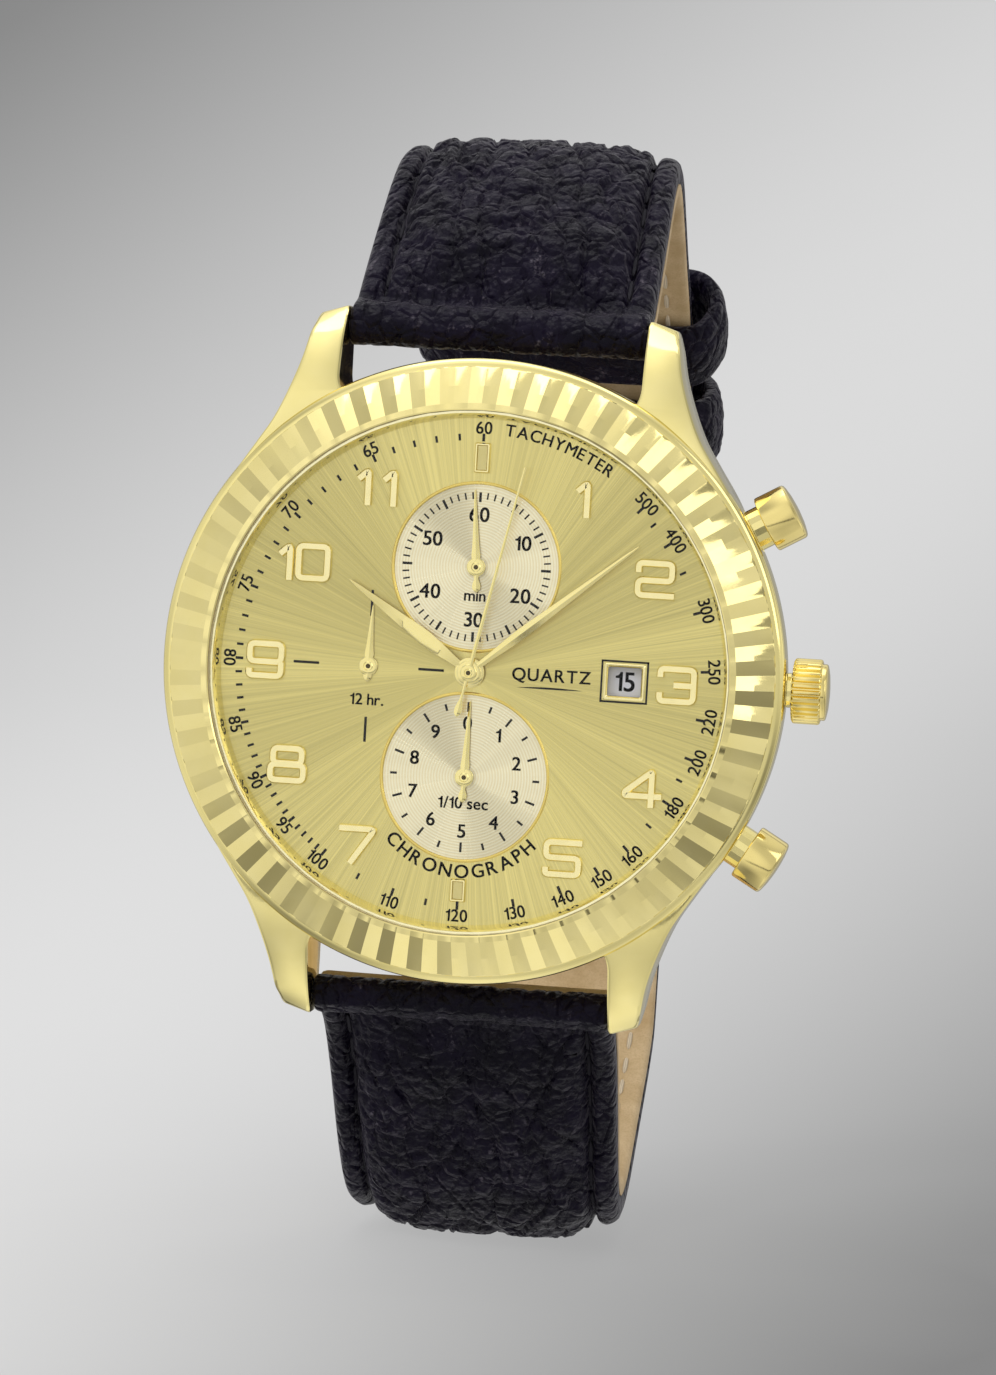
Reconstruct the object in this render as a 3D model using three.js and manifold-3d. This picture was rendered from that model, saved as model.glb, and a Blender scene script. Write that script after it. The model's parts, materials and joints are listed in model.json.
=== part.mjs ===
// Quartz chronograph wristwatch on a buckled leather strap, in millimetres.
//
// Frame: the origin is the centre of the case back's flat outer face. +X points to 3 o'clock (the
// crown), +Z to 12 o'clock, and +Y out of the case back, so the dial looks along -Y.
// The main axis is Y. Angles on the dial run clockwise from 12 o'clock, as seen from the front.

import * as THREE from "three";
import { mergeVertices } from "three/addons/utils/BufferGeometryUtils.js";
import Module from "manifold-3d";

const wasm = await Module();
wasm.setup();

const radians = THREE.MathUtils.degToRad;

// ---------------------------------------------------------------- driving dimensions

const BEZEL_RADIUS = 20;
const BEZEL_BORE = 17.35;
const FLUTES = 60;
const FLUTE_DEPTH = 0.22;
const CASE_RADIUS = 20.6;
const MOVEMENT_BORE = 17;

const DIAL_FRONT = -8; // y of the dial's printed face
const DIAL_THICKNESS = 0.4;
const CRYSTAL_INSIDE = DIAL_FRONT - 1.35;
const BEZEL_FRONT = DIAL_FRONT - 2;
const BEZEL_BACK = DIAL_FRONT + 0.05;
const CASE_FRONT = DIAL_FRONT + 0.1;
const CASE_BOTTOM = -1;

const NUMERAL_RING = 13.6; // radius through the centres of the hour numerals
const NUMERAL_HEIGHT = 0.3;
const STROKE = 0.4;

const COUNTER_OFFSET = 6.9; // 60-minute and 1/10-second counters, above and below the centre
const HOUR_COUNTER_X = -6.75;
const COUNTER_RADIUS = 5.5;
const COUNTER_RECESS = 0.1;
const DATE_X = 10.15;
const DATE_WINDOW = { width: 2.2, height: 1.9 };

const CONTROL_AXIS_Y = -4.9; // level of the crown and the pushers
const PUSHER_ANGLE = 30; // each side of the crown

const SPRING_BAR = { y: -3, z: 22.2, radius: 0.65, pin: 0.4 };
const STRAP_END = 20.9; // z where a strap ends, between the lugs

const GEAR_MODULE = 0.13;
const TEETH = { cannon: 10, minuteWheel: 30, pinion: 8, hourWheel: 32 };
const DATE_TEETH = 31;

// strap, in the (y, z) side view
const STRAP_HALF_WIDTH = { lug: 9.85, buckle: 9, back: 8.898 }; // back: at y = STRAP_PLAN.back
const STRAP_PLAN = { front: -6, back: 50 }; // y levels between which the width tapers
const WRIST_ARC = { y: 22.5, z: 9.5, radius: 21.8 }; // outer face of the short strap behind the wrist
const STRAP_AT_LUG = 2.6;
const STRAP_PADDED = 3.6;
const PADDING_START = 0.08; // shares of a strap's length
const THINNING_END = 0.55;
const STRAP_AT_BUCKLE = 2.4;
const LINING = 1;
const GLUE_LINE = 0.03;
const OVERLAP_GAP = 0.2; // between the short strap and the tail that lies on it
const TAIL_THICKNESS = 2.3;
const TAIL_END_ANGLE = 62;

const BUCKLE_BAR = { y: 42.95, z: 7, radius: 0.75, pin: 0.45 };
const BUCKLE_TILT = radians(24.2);
const BUCKLE_REACH = 13; // from the bar's axis to the far side of the frame
const KEEPER = { width: 19, inner: 18.95, outer: 24.6, wall: 1.25, length: 5.6 };
const FIXED_KEEPER_ANGLE = 22;
const FREE_KEEPER_ANGLE = 44;

const ROUND = 60; // segments round the case
const INNER_ROUND = 36;
const SMALL_ROUND = 20;

// ---------------------------------------------------------------- materials

const finish = (color, roughness, metalness, extra = {}) => ({ color, roughness, metalness, ...extra });
const FINISH = {
  gold: finish(0xe6cf6a, 0.18, 1),
  dial: finish(0xcfc078, 0.42, 0.8),
  steel: finish(0xb9bcc0, 0.3, 1),
  brass: finish(0xc2a14d, 0.35, 1),
  glass: finish(0xffffff, 0.03, 0, { transparent: true, opacity: 0.2 }),
  rubber: finish(0x222222, 0.8, 0),
  plastic: finish(0xe8e4d8, 0.5, 0),
  board: finish(0x2f6b45, 0.5, 0),
  copper: finish(0xb8713a, 0.4, 1),
  date: finish(0xe9e9ee, 0.6, 0),
  leather: finish(0x17161c, 0.55, 0),
  lining: finish(0xc9a880, 0.8, 0),
};

// ---------------------------------------------------------------- geometry helpers

const point = (x, y) => new THREE.Vector2(x, y);

// A closed indexed geometry with shared vertices, no collapsed faces, and its faces pointing out.
function closed(geometry) {
  const bare = geometry.clone();
  bare.deleteAttribute("normal");
  bare.deleteAttribute("uv");
  const merged = mergeVertices(bare, 1e-5);
  const position = merged.attributes.position;
  const corner = [0, 1, 2].map(() => new THREE.Vector3());
  const faces = [];
  let volume = 0;
  for (let i = 0; i < merged.index.count; i += 3) {
    const [a, b, c] = [0, 1, 2].map((k) => merged.index.getX(i + k));
    if (a === b || b === c || a === c) continue;
    faces.push([a, b, c]);
    corner.forEach((v, k) => v.fromBufferAttribute(position, [a, b, c][k]));
    volume += corner[0].dot(corner[1].cross(corner[2]));
  }
  merged.setIndex(faces.flatMap(([a, b, c]) => (volume < 0 ? [a, c, b] : [a, b, c])));
  return merged;
}

function solid(geometry) {
  const shape = closed(geometry);
  return new wasm.Manifold(
    new wasm.Mesh({
      numProp: 3,
      vertProperties: Float32Array.from(shape.attributes.position.array),
      triVerts: Uint32Array.from(shape.index.array),
    }),
  );
}

function geometryOf(body) {
  const mesh = body.getMesh();
  const geometry = new THREE.BufferGeometry();
  geometry.setAttribute("position", new THREE.BufferAttribute(Float32Array.from(mesh.vertProperties), 3));
  geometry.setIndex(Array.from(mesh.triVerts));
  return geometry;
}

const join = (...pieces) => geometryOf(pieces.map(solid).reduce((all, piece) => all.add(piece)));
const cut = (base, ...tools) => geometryOf(tools.map(solid).reduce((all, tool) => all.subtract(tool), solid(base)));
const common = (a, b) => geometryOf(solid(a).intersect(solid(b)));

// A solid of revolution about Y. The profile is a closed loop of [radius, y], or starts and ends on the axis.
function turned(profile, segments = SMALL_ROUND) {
  const points = profile.map(([r, y]) => point(r, y));
  const first = points[0];
  const last = points[points.length - 1];
  if (first.x > 0 || last.x > 0) points.push(first.clone());
  return new THREE.LatheGeometry(points, segments);
}

// The same about X: the profile is [radius, x].
const turnedX = (profile, segments) => turned(profile, segments).rotateZ(-Math.PI / 2);

const rod = (radius, from, to, segments) =>
  turned([[0, from], [radius, from], [radius, to], [0, to]], segments);
const rodX = (radius, from, to, segments) => rod(radius, from, to, segments).rotateZ(-Math.PI / 2);
const ring = (inner, outer, from, to, segments) =>
  turned([[inner, from], [outer, from], [outer, to], [inner, to]], segments);

// An outline in the dial's plane, (x, z), given depth from y = front to y = back.
function plate(shape, front, back, curveSegments = 12) {
  const depth = back - front;
  const geometry = new THREE.ExtrudeGeometry(shape, { depth, bevelEnabled: false, curveSegments });
  return geometry.rotateX(Math.PI / 2).translate(0, back, 0);
}

// An outline in the side view, (y, z), given width from x = left to x = right.
const SIDE_VIEW = new THREE.Matrix4().makeBasis(
  new THREE.Vector3(0, 1, 0),
  new THREE.Vector3(0, 0, 1),
  new THREE.Vector3(1, 0, 0),
);
function sideways(shape, left, right, curveSegments = 12) {
  const depth = right - left;
  const geometry = new THREE.ExtrudeGeometry(shape, { depth, bevelEnabled: false, curveSegments });
  return geometry.applyMatrix4(SIDE_VIEW).translate(left, 0, 0);
}

const outline = (points) => new THREE.Shape(points.map(([u, v]) => point(u, v)));
const box = (width, depth, height) => new THREE.BoxGeometry(width, depth, height);

function disc(radius, u = 0, v = 0) {
  const shape = new THREE.Shape();
  shape.absarc(u, v, radius, 0, 2 * Math.PI);
  return shape;
}

// A toothed outline: one tooth points along +v. Internal gears use it as a hole.
function toothed(teeth, root, tip, rootShare = 0.3, tipShare = 0.12) {
  const pitch = (2 * Math.PI) / teeth;
  const points = [];
  for (let i = 0; i < teeth; i++) {
    const corners = [[root, -rootShare], [tip, -tipShare], [tip, tipShare], [root, rootShare]];
    for (const [radius, share] of corners) {
      const angle = (i + share) * pitch;
      points.push([radius * Math.sin(angle), radius * Math.cos(angle)]);
    }
  }
  return outline(points);
}

function gear(teeth, front, back) {
  const pitchRadius = (GEAR_MODULE * teeth) / 2;
  return plate(toothed(teeth, pitchRadius - 1.05 * GEAR_MODULE, pitchRadius + 0.75 * GEAR_MODULE), front, back);
}

// A band of varying thickness below a curve: depth d is measured to the right of the way the points run.
function band(points, upper, lower) {
  const sides = [[], []];
  points.forEach((p, i) => {
    const before = points[Math.max(i - 1, 0)];
    const after = points[Math.min(i + 1, points.length - 1)];
    const along = after.clone().sub(before).normalize();
    const share = i / (points.length - 1);
    [upper(share), lower(share)].forEach((depth, k) =>
      sides[k].push(point(p.x + along.y * depth, p.y - along.x * depth)),
    );
  });
  return new THREE.Shape([...sides[0], ...sides[1].reverse()]);
}

// ---------------------------------------------------------------- assembly

const watch = new THREE.Group();
watch.name = "chronograph_wristwatch";

function add(name, geometry, look, parent = watch) {
  const shape = closed(geometry);
  shape.computeVertexNormals();
  const mesh = new THREE.Mesh(shape, new THREE.MeshStandardMaterial(look));
  mesh.name = name;
  parent.add(mesh);
  return mesh;
}

// Turns a piece that was drawn towards 12 o'clock to its own place on the dial.
function aim(mesh, degreesClockwise, x = 0, z = 0) {
  mesh.rotation.y = radians(degreesClockwise);
  mesh.position.set(x, 0, z);
}

// ---------------------------------------------------------------- case

function lugs() {
  const front = outline([
    [10, 23.7], [11.9, 23.1], [12.2, 22.3], [12.6, 20], [13.2, 18], [14, 16],
    [15, 14.4], [16.6, 12.2], [17.5, 10], [15, 9], [10, 16],
  ]);
  const side = outline([
    [-7.5, 8], [-7.5, 18.6], [-6.9, 20.2], [-5.4, 21.9], [-3.4, 23.7], [-1.7, 23.7],
    [-0.85, 22.6], [-0.95, 19], [-1.1, 8],
  ]);
  const one = common(plate(front, -8, 0), sideways(side, 9, 19));
  return [[1, 1], [-1, 1], [1, -1], [-1, -1]].map(([sx, sz]) => one.clone().scale(sx, 1, sz));
}

const controls = [0, PUSHER_ANGLE, -PUSHER_ANGLE];
const towards = (geometry, angle) => geometry.translate(0, CONTROL_AXIS_Y, 0).rotateY(radians(-angle));

function midCase() {
  const body = turned([
    [MOVEMENT_BORE, CASE_FRONT], [20, CASE_FRONT], [CASE_RADIUS, CASE_FRONT + 0.45], [CASE_RADIUS, -4.2],
    [20.3, -2.4], [19.5, CASE_BOTTOM], [17.6, CASE_BOTTOM], [17.6, -2.35], [MOVEMENT_BORE, -2.35],
  ], ROUND);
  const bore = rod(MOVEMENT_BORE, -8, -0.5, ROUND);
  const backSeat = rod(17.6, -2.35, -0.5, ROUND);
  const barHoles = [1, -1].flatMap((sx) =>
    [1, -1].map((sz) =>
      rodX(SPRING_BAR.pin + 0.06, 9.5, 11, 12).scale(sx, 1, 1).translate(0, SPRING_BAR.y, sz * SPRING_BAR.z),
    ),
  );
  const [crownHole, startHole, resetHole] = controls.map((angle) =>
    towards(rodX(angle ? 1.45 : 0.98, 15, 22, SMALL_ROUND), angle),
  );
  const whole = join(body, ...lugs());
  return cut(whole, bore, backSeat, ...barHoles, crownHole, startHole, resetHole);
}

add("mid_case", midCase(), FINISH.gold);

// The bezel is a ring whose front slope is cut into flutes: every second segment line sinks into a valley.
function flutedBezel() {
  const profile = [
    [BEZEL_BORE, BEZEL_BACK], [BEZEL_BORE, BEZEL_FRONT], [BEZEL_BORE + 0.25, BEZEL_FRONT],
    [18.7, BEZEL_FRONT + 0.75], [19.9, DIAL_FRONT - 0.32], [BEZEL_RADIUS, BEZEL_BACK],
  ];
  const geometry = turned(profile, 2 * FLUTES);
  const position = geometry.attributes.position;
  const count = profile.length + 1;
  const vertex = new THREE.Vector3();
  for (let i = 0; i < position.count; i++) {
    const onSlope = [3, 4].includes(i % count);
    const line = Math.floor(i / count);
    if (!onSlope || line % 2 === 0) continue;
    vertex.fromBufferAttribute(position, i);
    position.setY(i, vertex.y + FLUTE_DEPTH);
  }
  return geometry;
}

add("bezel", flutedBezel(), FINISH.gold);

const crystalRadius = 17.08;
add(
  "crystal",
  turned([
    [0, CRYSTAL_INSIDE], [crystalRadius, CRYSTAL_INSIDE], [crystalRadius, BEZEL_FRONT - 0.02],
    [16.7, BEZEL_FRONT - 0.2], [0, BEZEL_FRONT - 0.35],
  ], ROUND),
  FINISH.glass,
);
add("crystal_gasket", ring(17.1, 17.32, CRYSTAL_INSIDE, BEZEL_FRONT + 0.12, ROUND), FINISH.plastic);
add(
  "flange_ring",
  turned([
    [16.45, DIAL_FRONT - 0.02], [17.3, DIAL_FRONT - 0.02], [17.3, CRYSTAL_INSIDE + 0.03],
    [17, CRYSTAL_INSIDE + 0.03],
  ], ROUND),
  FINISH.gold,
);
add(
  "case_back",
  turned([
    [0, 0], [18.2, 0], [18.7, -0.35], [18.7, -0.94], [17.5, -0.94], [17.5, -2.05],
    [16.6, -2.05], [16.6, -1.2], [0, -1.2],
  ], ROUND),
  FINISH.steel,
);
add("case_back_gasket", ring(17.05, 17.5, -2.31, -2.09, INNER_ROUND), FINISH.rubber);

// ---------------------------------------------------------------- dial

const dialBack = DIAL_FRONT + DIAL_THICKNESS;
const counters = [[0, COUNTER_OFFSET], [0, -COUNTER_OFFSET]];
const arbors = [...counters, [HOUR_COUNTER_X, 0]];

function dial() {
  const blank = rod(16.9, DIAL_FRONT, dialBack, ROUND);
  const recesses = counters.map(([x, z]) =>
    rod(COUNTER_RADIUS, DIAL_FRONT - 1, DIAL_FRONT + COUNTER_RECESS, 36).translate(x, 0, z),
  );
  const holes = arbors.map(([x, z]) => rod(0.32, -9, -7, 16).translate(x, 0, z));
  const centre = rod(0.82, -9, -7, SMALL_ROUND);
  const window = box(DATE_WINDOW.width, 2, DATE_WINDOW.height).translate(DATE_X, -7.8, 0);
  return cut(blank, ...recesses, ...holes, centre, window);
}

add("dial", dial(), FINISH.dial);

// Numerals are strokes of one width. Each stroke is a list of [u, v] corners about the numeral's centre.
const boxed = (w, top, bottom) => [[-w, top], [w, top], [w, bottom], [-w, bottom], [-w, top]];
const GLYPHS = {
  0: [boxed(0.96, 1.05, -1.05)],
  1: [[[0.25, -1.05], [0.25, 1.05], [-0.4, 0.45]]],
  2: [[[-1.1, 0.5], [-1.1, 1.05], [1.1, 1.05], [1.1, -0.08], [-1.1, -0.08], [-1.1, -1.05], [1.15, -1.05]]],
  3: [[[-1.1, 0.6], [-1.1, 1.05], [1.1, 1.05], [1.1, -1.05], [-1.1, -1.05], [-1.1, -0.6]], [[0, 0], [1.1, 0]]],
  4: [[[0.57, -1.1], [0.57, 1.1], [-1.15, -0.3], [-1.15, -0.55], [1.1, -0.55]]],
  5: [[[1.1, 1.05], [-1.1, 1.05], [-1.1, 0.05], [1.05, 0.05], [1.05, -1.05], [-1.1, -1.05], [-1.1, -0.7]]],
  7: [[[-1.1, 1.05], [1.1, 1.05], [-0.25, -1.05], [-0.7, -1.05]]],
  8: [boxed(0.95, 1.05, 0.02), boxed(1.1, 0.02, -1.05)],
  9: [boxed(1.05, 1.05, -0.12), [[1.05, -0.12], [1.05, -1.05], [-1.05, -1.05], [-1.05, -0.7]]],
};

function stroke([x0, z0], [x1, z1]) {
  const length = Math.hypot(x1 - x0, z1 - z0) + STROKE;
  return box(length, NUMERAL_HEIGHT, STROKE)
    .rotateY(-Math.atan2(z1 - z0, x1 - x0))
    .translate((x0 + x1) / 2, DIAL_FRONT - 0.01 - NUMERAL_HEIGHT / 2, (z0 + z1) / 2);
}

const digit = (value, x) =>
  GLYPHS[value].flatMap((line) =>
    line.slice(1).map((corner, i) => stroke(line[i], corner).translate(x, 0, 0)),
  );

// Two digits of one number stand on a thin common foot.
function numeral(hour) {
  if (hour < 10) return join(...digit(hour, 0));
  const [left, right] = hour === 10 ? [-1.2, 0.6] : [-0.85, 0.85];
  const foot = box(right - left, 0.06, STROKE).translate((left + right) / 2 + 0.2, DIAL_FRONT - 0.04, -1.05);
  return join(...digit(1, left), ...digit(hour - 10, right), foot);
}

function baton(width, height) {
  const frame = box(width, NUMERAL_HEIGHT, height).translate(0, DIAL_FRONT - 0.01 - NUMERAL_HEIGHT / 2, 0);
  const panel = box(width - 0.4, NUMERAL_HEIGHT, height - 0.4);
  return cut(frame, panel.translate(0, DIAL_FRONT - NUMERAL_HEIGHT, 0));
}

for (let hour = 1; hour <= 12; hour++) {
  if (hour % 6 === 0) {
    const twelve = hour === 12;
    const marker = add(`marker_${hour}`, twelve ? baton(1.05, 2) : baton(1.05, 1.55), FINISH.gold);
    marker.position.z = twelve ? 14.05 : -14.35;
    continue;
  }
  const radius = hour === 10 ? 13.15 : NUMERAL_RING;
  const angle = radians(30 * hour);
  const piece = add(`numeral_${hour}`, numeral(hour), FINISH.gold);
  piece.position.set(radius * Math.sin(angle), 0, radius * Math.cos(angle));
}

const dateFrame = cut(
  box(2.74, 0.14, 2.4).translate(DATE_X, DIAL_FRONT - 0.08, 0),
  box(DATE_WINDOW.width, 1, DATE_WINDOW.height).translate(DATE_X, DIAL_FRONT, 0),
);
add("date_frame", dateFrame, FINISH.gold);

// ---------------------------------------------------------------- movement

const PLATE = { radius: 14.9, front: -6.6, back: -4.4 };
const ROTOR = { x: 5.5, z: -5.4 };
const MINUTE_WHEEL_AT = 225; // direction from the centre to the motion work's layshaft, degrees clockwise
const layshaftDistance = (GEAR_MODULE * (TEETH.cannon + TEETH.minuteWheel)) / 2;
const LAYSHAFT = {
  x: layshaftDistance * Math.sin(radians(MINUTE_WHEEL_AT)),
  z: layshaftDistance * Math.cos(radians(MINUTE_WHEEL_AT)),
};

function mainPlate() {
  const disk = rod(PLATE.radius, PLATE.front, PLATE.back, INNER_ROUND);
  const rim = ring(13.4, PLATE.radius, dialBack + 0.05, PLATE.front + 0.5, INNER_ROUND);
  const holes = [...arbors, [0, 0], [ROTOR.x, ROTOR.z], [LAYSHAFT.x, LAYSHAFT.z]].map(([x, z]) =>
    rod(0.28, -7, -4, 12).translate(x, 0, z),
  );
  const stemChannel = rodX(0.65, 8.5, 16, 12).translate(0, CONTROL_AXIS_Y, 0);
  return cut(join(disk, rim), ...holes, stemChannel);
}

add("main_plate", mainPlate(), FINISH.brass);

function movementHolder() {
  const body = ring(15, 16.85, dialBack + 0.05, -2.4, INNER_ROUND);
  const gaps = controls.map((angle) => towards(rodX(1.5, 14, 18, 16), angle));
  return cut(body, ...gaps);
}

add("movement_holder", movementHolder(), FINISH.plastic);

const board = new THREE.Shape();
board.absarc(0, 0, 13.8, radians(10), radians(170));
board.lineTo(-8, -0.8);
board.lineTo(8, -0.8);
add("circuit_board", plate(board, -4.2, -3.8, 16), FINISH.board);
add("battery", rod(4.75, -3.9, -1.8, SMALL_ROUND).translate(-4.6, 0, -7.9), FINISH.steel);

const coilProfile = [
  [0, -4], [1.2, -4], [1.2, -3.5], [1, -3.5], [1, 3.5], [1.2, 3.5], [1.2, 4], [0, 4],
];
add("coil", turnedX(coilProfile, 16).translate(5.6, -2.6, -9.2), FINISH.copper);
const stator = cut(
  box(9.4, 0.4, 5.6).translate(5.6, -4.15, -7),
  rod(0.75, -5, -3, 16).translate(ROTOR.x, 0, ROTOR.z),
);
add("stator", stator, FINISH.steel);

const rotor = add("rotor", join(rod(0.6, -4.34, -3.3, 16), rod(0.2, -6.2, -2.9, 12)), FINISH.steel);
rotor.position.set(ROTOR.x, 0, ROTOR.z);

// Date wheel: a ring with 31 inward teeth, turning under the dial.
const dateRing = disc(12);
dateRing.holes.push(toothed(DATE_TEETH, 8.5, 8, 0.34, 0.22));
add("date_wheel", plate(dateRing, -7.45, -7.2, 24), FINISH.date);

// Motion work: cannon pinion -> minute wheel and pinion -> hour wheel, 12 turns to 1.
const PIPE = { seconds: 0.14, cannonBore: 0.19, cannon: 0.42, hourBore: 0.47, hour: 0.72 };
const cannon = join(
  gear(TEETH.cannon, -7.03, -6.76),
  rod(PIPE.cannon, -8.82, -6.8, SMALL_ROUND),
);
const cannonPinion = add("cannon_pinion", cut(cannon, rod(PIPE.cannonBore, -10, -5, 16)), FINISH.steel);
aim(cannonPinion, MINUTE_WHEEL_AT);

const hourGear = join(gear(TEETH.hourWheel, -7.34, -7.1), rod(PIPE.hour, -8.56, -7.2, SMALL_ROUND));
const hourWheel = add("hour_wheel", cut(hourGear, rod(PIPE.hourBore, -10, -5, SMALL_ROUND)), FINISH.brass);
aim(hourWheel, MINUTE_WHEEL_AT);

const halfPitch = (teeth) => radians(180 / teeth);
const layshaft = join(
  gear(TEETH.minuteWheel, -7.01, -6.8).rotateY(halfPitch(TEETH.minuteWheel)),
  gear(TEETH.pinion, -7.38, -7).rotateY(halfPitch(TEETH.pinion)),
  rod(0.2, -6.9, -5.6, 12),
);
const minuteWheel = add("minute_wheel", layshaft, FINISH.brass);
aim(minuteWheel, MINUTE_WHEEL_AT + 180, LAYSHAFT.x, LAYSHAFT.z);

// ---------------------------------------------------------------- hands

// A tapering blade with a hub, pointing to 12 o'clock. widths is a list of [distance, half width].
function hand({ widths, hub, bore, front, back, arbor }) {
  const right = widths.map(([z, half]) => [half, z]);
  const left = widths.map(([z, half]) => [-half, z]).reverse();
  const blade = plate(outline([...right, ...left]), front, back);
  const boss = rod(hub, front - 0.05, back, SMALL_ROUND);
  const body = arbor
    ? join(blade, boss, rod(arbor.radius, front, arbor.back, 16))
    : join(blade, boss);
  return bore ? cut(body, rod(bore, -12, -5, SMALL_ROUND)) : body;
}

const HANDS = {
  hour_hand: {
    angle: 304.18, bore: PIPE.hour + 0.01, hub: 0.98, front: -8.54, back: -8.4,
    widths: [[0.5, 0.3], [0.9, 0.28], [3.6, 0.48], [9.2, 0.13], [10, 0.04]],
  },
  minute_hand: {
    angle: 50.2, bore: PIPE.cannon + 0.01, hub: 0.8, front: -8.8, back: -8.68,
    widths: [[0.4, 0.24], [0.9, 0.22], [4.2, 0.35], [12.8, 0.1], [13.85, 0.04]],
  },
  second_hand: {
    angle: 12.3, hub: 0.55, front: -9.05, back: -8.96, arbor: { radius: PIPE.seconds, back: -6.2 },
    widths: [[-2.9, 0.06], [-2.6, 0.2], [-2.1, 0.17], [-1.2, 0.06], [0, 0.11], [13.9, 0.05]],
  },
};
const COUNTER_HANDS = {
  minute_counter_hand: { x: 0, z: COUNTER_OFFSET, angle: -3.9, length: 5.05, tail: 1.65 },
  tenth_counter_hand: { x: 0, z: -COUNTER_OFFSET, angle: 1.5, length: 5.03, tail: 1.65 },
  hour_counter_hand: { x: HOUR_COUNTER_X, z: 0, angle: 1.5, length: 4, tail: 1 },
};

for (const [name, spec] of Object.entries(HANDS)) {
  aim(add(name, hand(spec), FINISH.gold), spec.angle);
}
for (const [name, { x, z, angle, length, tail }] of Object.entries(COUNTER_HANDS)) {
  const widths = [[-tail, 0.05], [-tail + 0.35, 0.28], [-tail + 0.8, 0.2], [0, 0.3], [1, 0.26], [length, 0.04]];
  const arbor = { radius: 0.22, back: -5 };
  const piece = hand({ widths, hub: 0.62, front: -8.22, back: -8.12, arbor });
  aim(add(name, piece, FINISH.gold), angle, x, z);
}

// ---------------------------------------------------------------- crown

const CROWN = { from: 20.95, barrel: 22.9, to: 23.4, radius: 2.15, ribs: 30, bore: 1.32, boreEnd: 22.45 };
const control = new THREE.Group();
control.position.y = CONTROL_AXIS_Y;
watch.add(control);

function crown() {
  const fluted = toothed(CROWN.ribs, CROWN.radius - 0.16, CROWN.radius, 0.4, 0.2);
  const barrel = new THREE.ExtrudeGeometry(fluted, { depth: CROWN.barrel - CROWN.from, bevelEnabled: false })
    .rotateY(Math.PI / 2)
    .translate(CROWN.from, 0, 0);
  const cap = turnedX([
    [0, CROWN.barrel - 0.2], [1.95, CROWN.barrel - 0.2], [1.95, 23.15], [1.6, 23.35], [0, CROWN.to],
  ], 48);
  const bore = rodX(CROWN.bore, CROWN.from - 1, CROWN.boreEnd, SMALL_ROUND);
  const stemHole = rodX(0.5, CROWN.boreEnd - 0.1, 22.95, 12);
  return cut(join(barrel, cap), bore, stemHole);
}

add("crown", crown(), FINISH.gold, control);
add("setting_stem", rodX(0.42, 9, 22.9, 12), FINISH.steel, control);
add("crown_gasket", turnedX([[0.98, 21.05], [1.28, 21.05], [1.28, 21.35], [0.98, 21.35]]), FINISH.rubber, control);
add(
  "crown_tube",
  turnedX([[0.55, 17.1], [0.94, 17.1], [0.94, 20.62], [1.15, 20.62], [1.15, 20.85], [0.94, 20.85], [0.94, 22.35],
    [0.55, 22.35]]),
  FINISH.steel,
  control,
);

// ---------------------------------------------------------------- pushers

const PUSHER = { from: 21.45, to: 23.8, radius: 1.9, bore: 1.5, boreEnd: 23.2, stem: 0.55, tubeEnd: 21.6 };

const pusherCap = turnedX([
  [0, 16.6], [PUSHER.stem, 16.6], [PUSHER.stem, PUSHER.boreEnd], [PUSHER.bore, PUSHER.boreEnd],
  [PUSHER.bore, PUSHER.from], [PUSHER.radius, PUSHER.from], [PUSHER.radius, 23.4], [1.7, 23.65], [1.2, 23.77],
  [0, PUSHER.to],
], SMALL_ROUND);

const pusherTube = turnedX([
  [0.65, 17.1], [1.4, 17.1], [1.4, PUSHER.tubeEnd], [0.65, PUSHER.tubeEnd],
], SMALL_ROUND);

// A helix of wire round the pusher's stem, between the tube's end and the cap's end wall.
class SpringLine extends THREE.Curve {
  getPoint(t, target = new THREE.Vector3()) {
    const turns = 3;
    const radius = 1.05;
    const wire = 0.1;
    const start = PUSHER.tubeEnd + wire + 0.04;
    const end = PUSHER.boreEnd - wire - 0.04;
    const angle = 2 * Math.PI * turns * t;
    return target.set(start + (end - start) * t, radius * Math.cos(angle), radius * Math.sin(angle));
  }
}
const pusherSpring = new THREE.ExtrudeGeometry(disc(0.1), {
  extrudePath: new SpringLine(),
  steps: 24,
  curveSegments: 3,
  bevelEnabled: false,
});

for (const [name, angle] of [["start", PUSHER_ANGLE], ["reset", -PUSHER_ANGLE]]) {
  const side = new THREE.Group();
  side.rotation.y = radians(-angle);
  control.add(side);
  add(`${name}_pusher`, pusherCap, FINISH.gold, side);
  add(`${name}_pusher_tube`, pusherTube, FINISH.steel, side);
  add(`${name}_pusher_spring`, pusherSpring, FINISH.steel, side);
}

// ---------------------------------------------------------------- strap

const barAt = (sign) => [SPRING_BAR.y, sign * SPRING_BAR.z];
const barProfile = (bar, main, tip) => [
  [0, -tip], [bar.pin, -tip], [bar.pin, -main], [bar.radius, -main],
  [bar.radius, main], [bar.pin, main], [bar.pin, tip], [0, tip],
];
for (const [hour, sign] of [[12, 1], [6, -1]]) {
  const [y, z] = barAt(sign);
  const bar = add(`spring_bar_${hour}`, turnedX(barProfile(SPRING_BAR, 9.6, 10.9), 16), FINISH.steel);
  bar.position.set(0, y, z);
}

// Outer faces of the two straps in the side view, from the lug towards the buckle or the tail's end.
function arcPoints(radius, fromDegrees, toDegrees, count) {
  return Array.from({ length: count }, (_, i) => {
    const angle = radians(fromDegrees + ((toDegrees - fromDegrees) * i) / (count - 1));
    return point(WRIST_ARC.y + radius * Math.cos(angle), WRIST_ARC.z + radius * Math.sin(angle));
  });
}
const spaced = (points, count) => new THREE.SplineCurve(points).getSpacedPoints(count);

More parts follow.
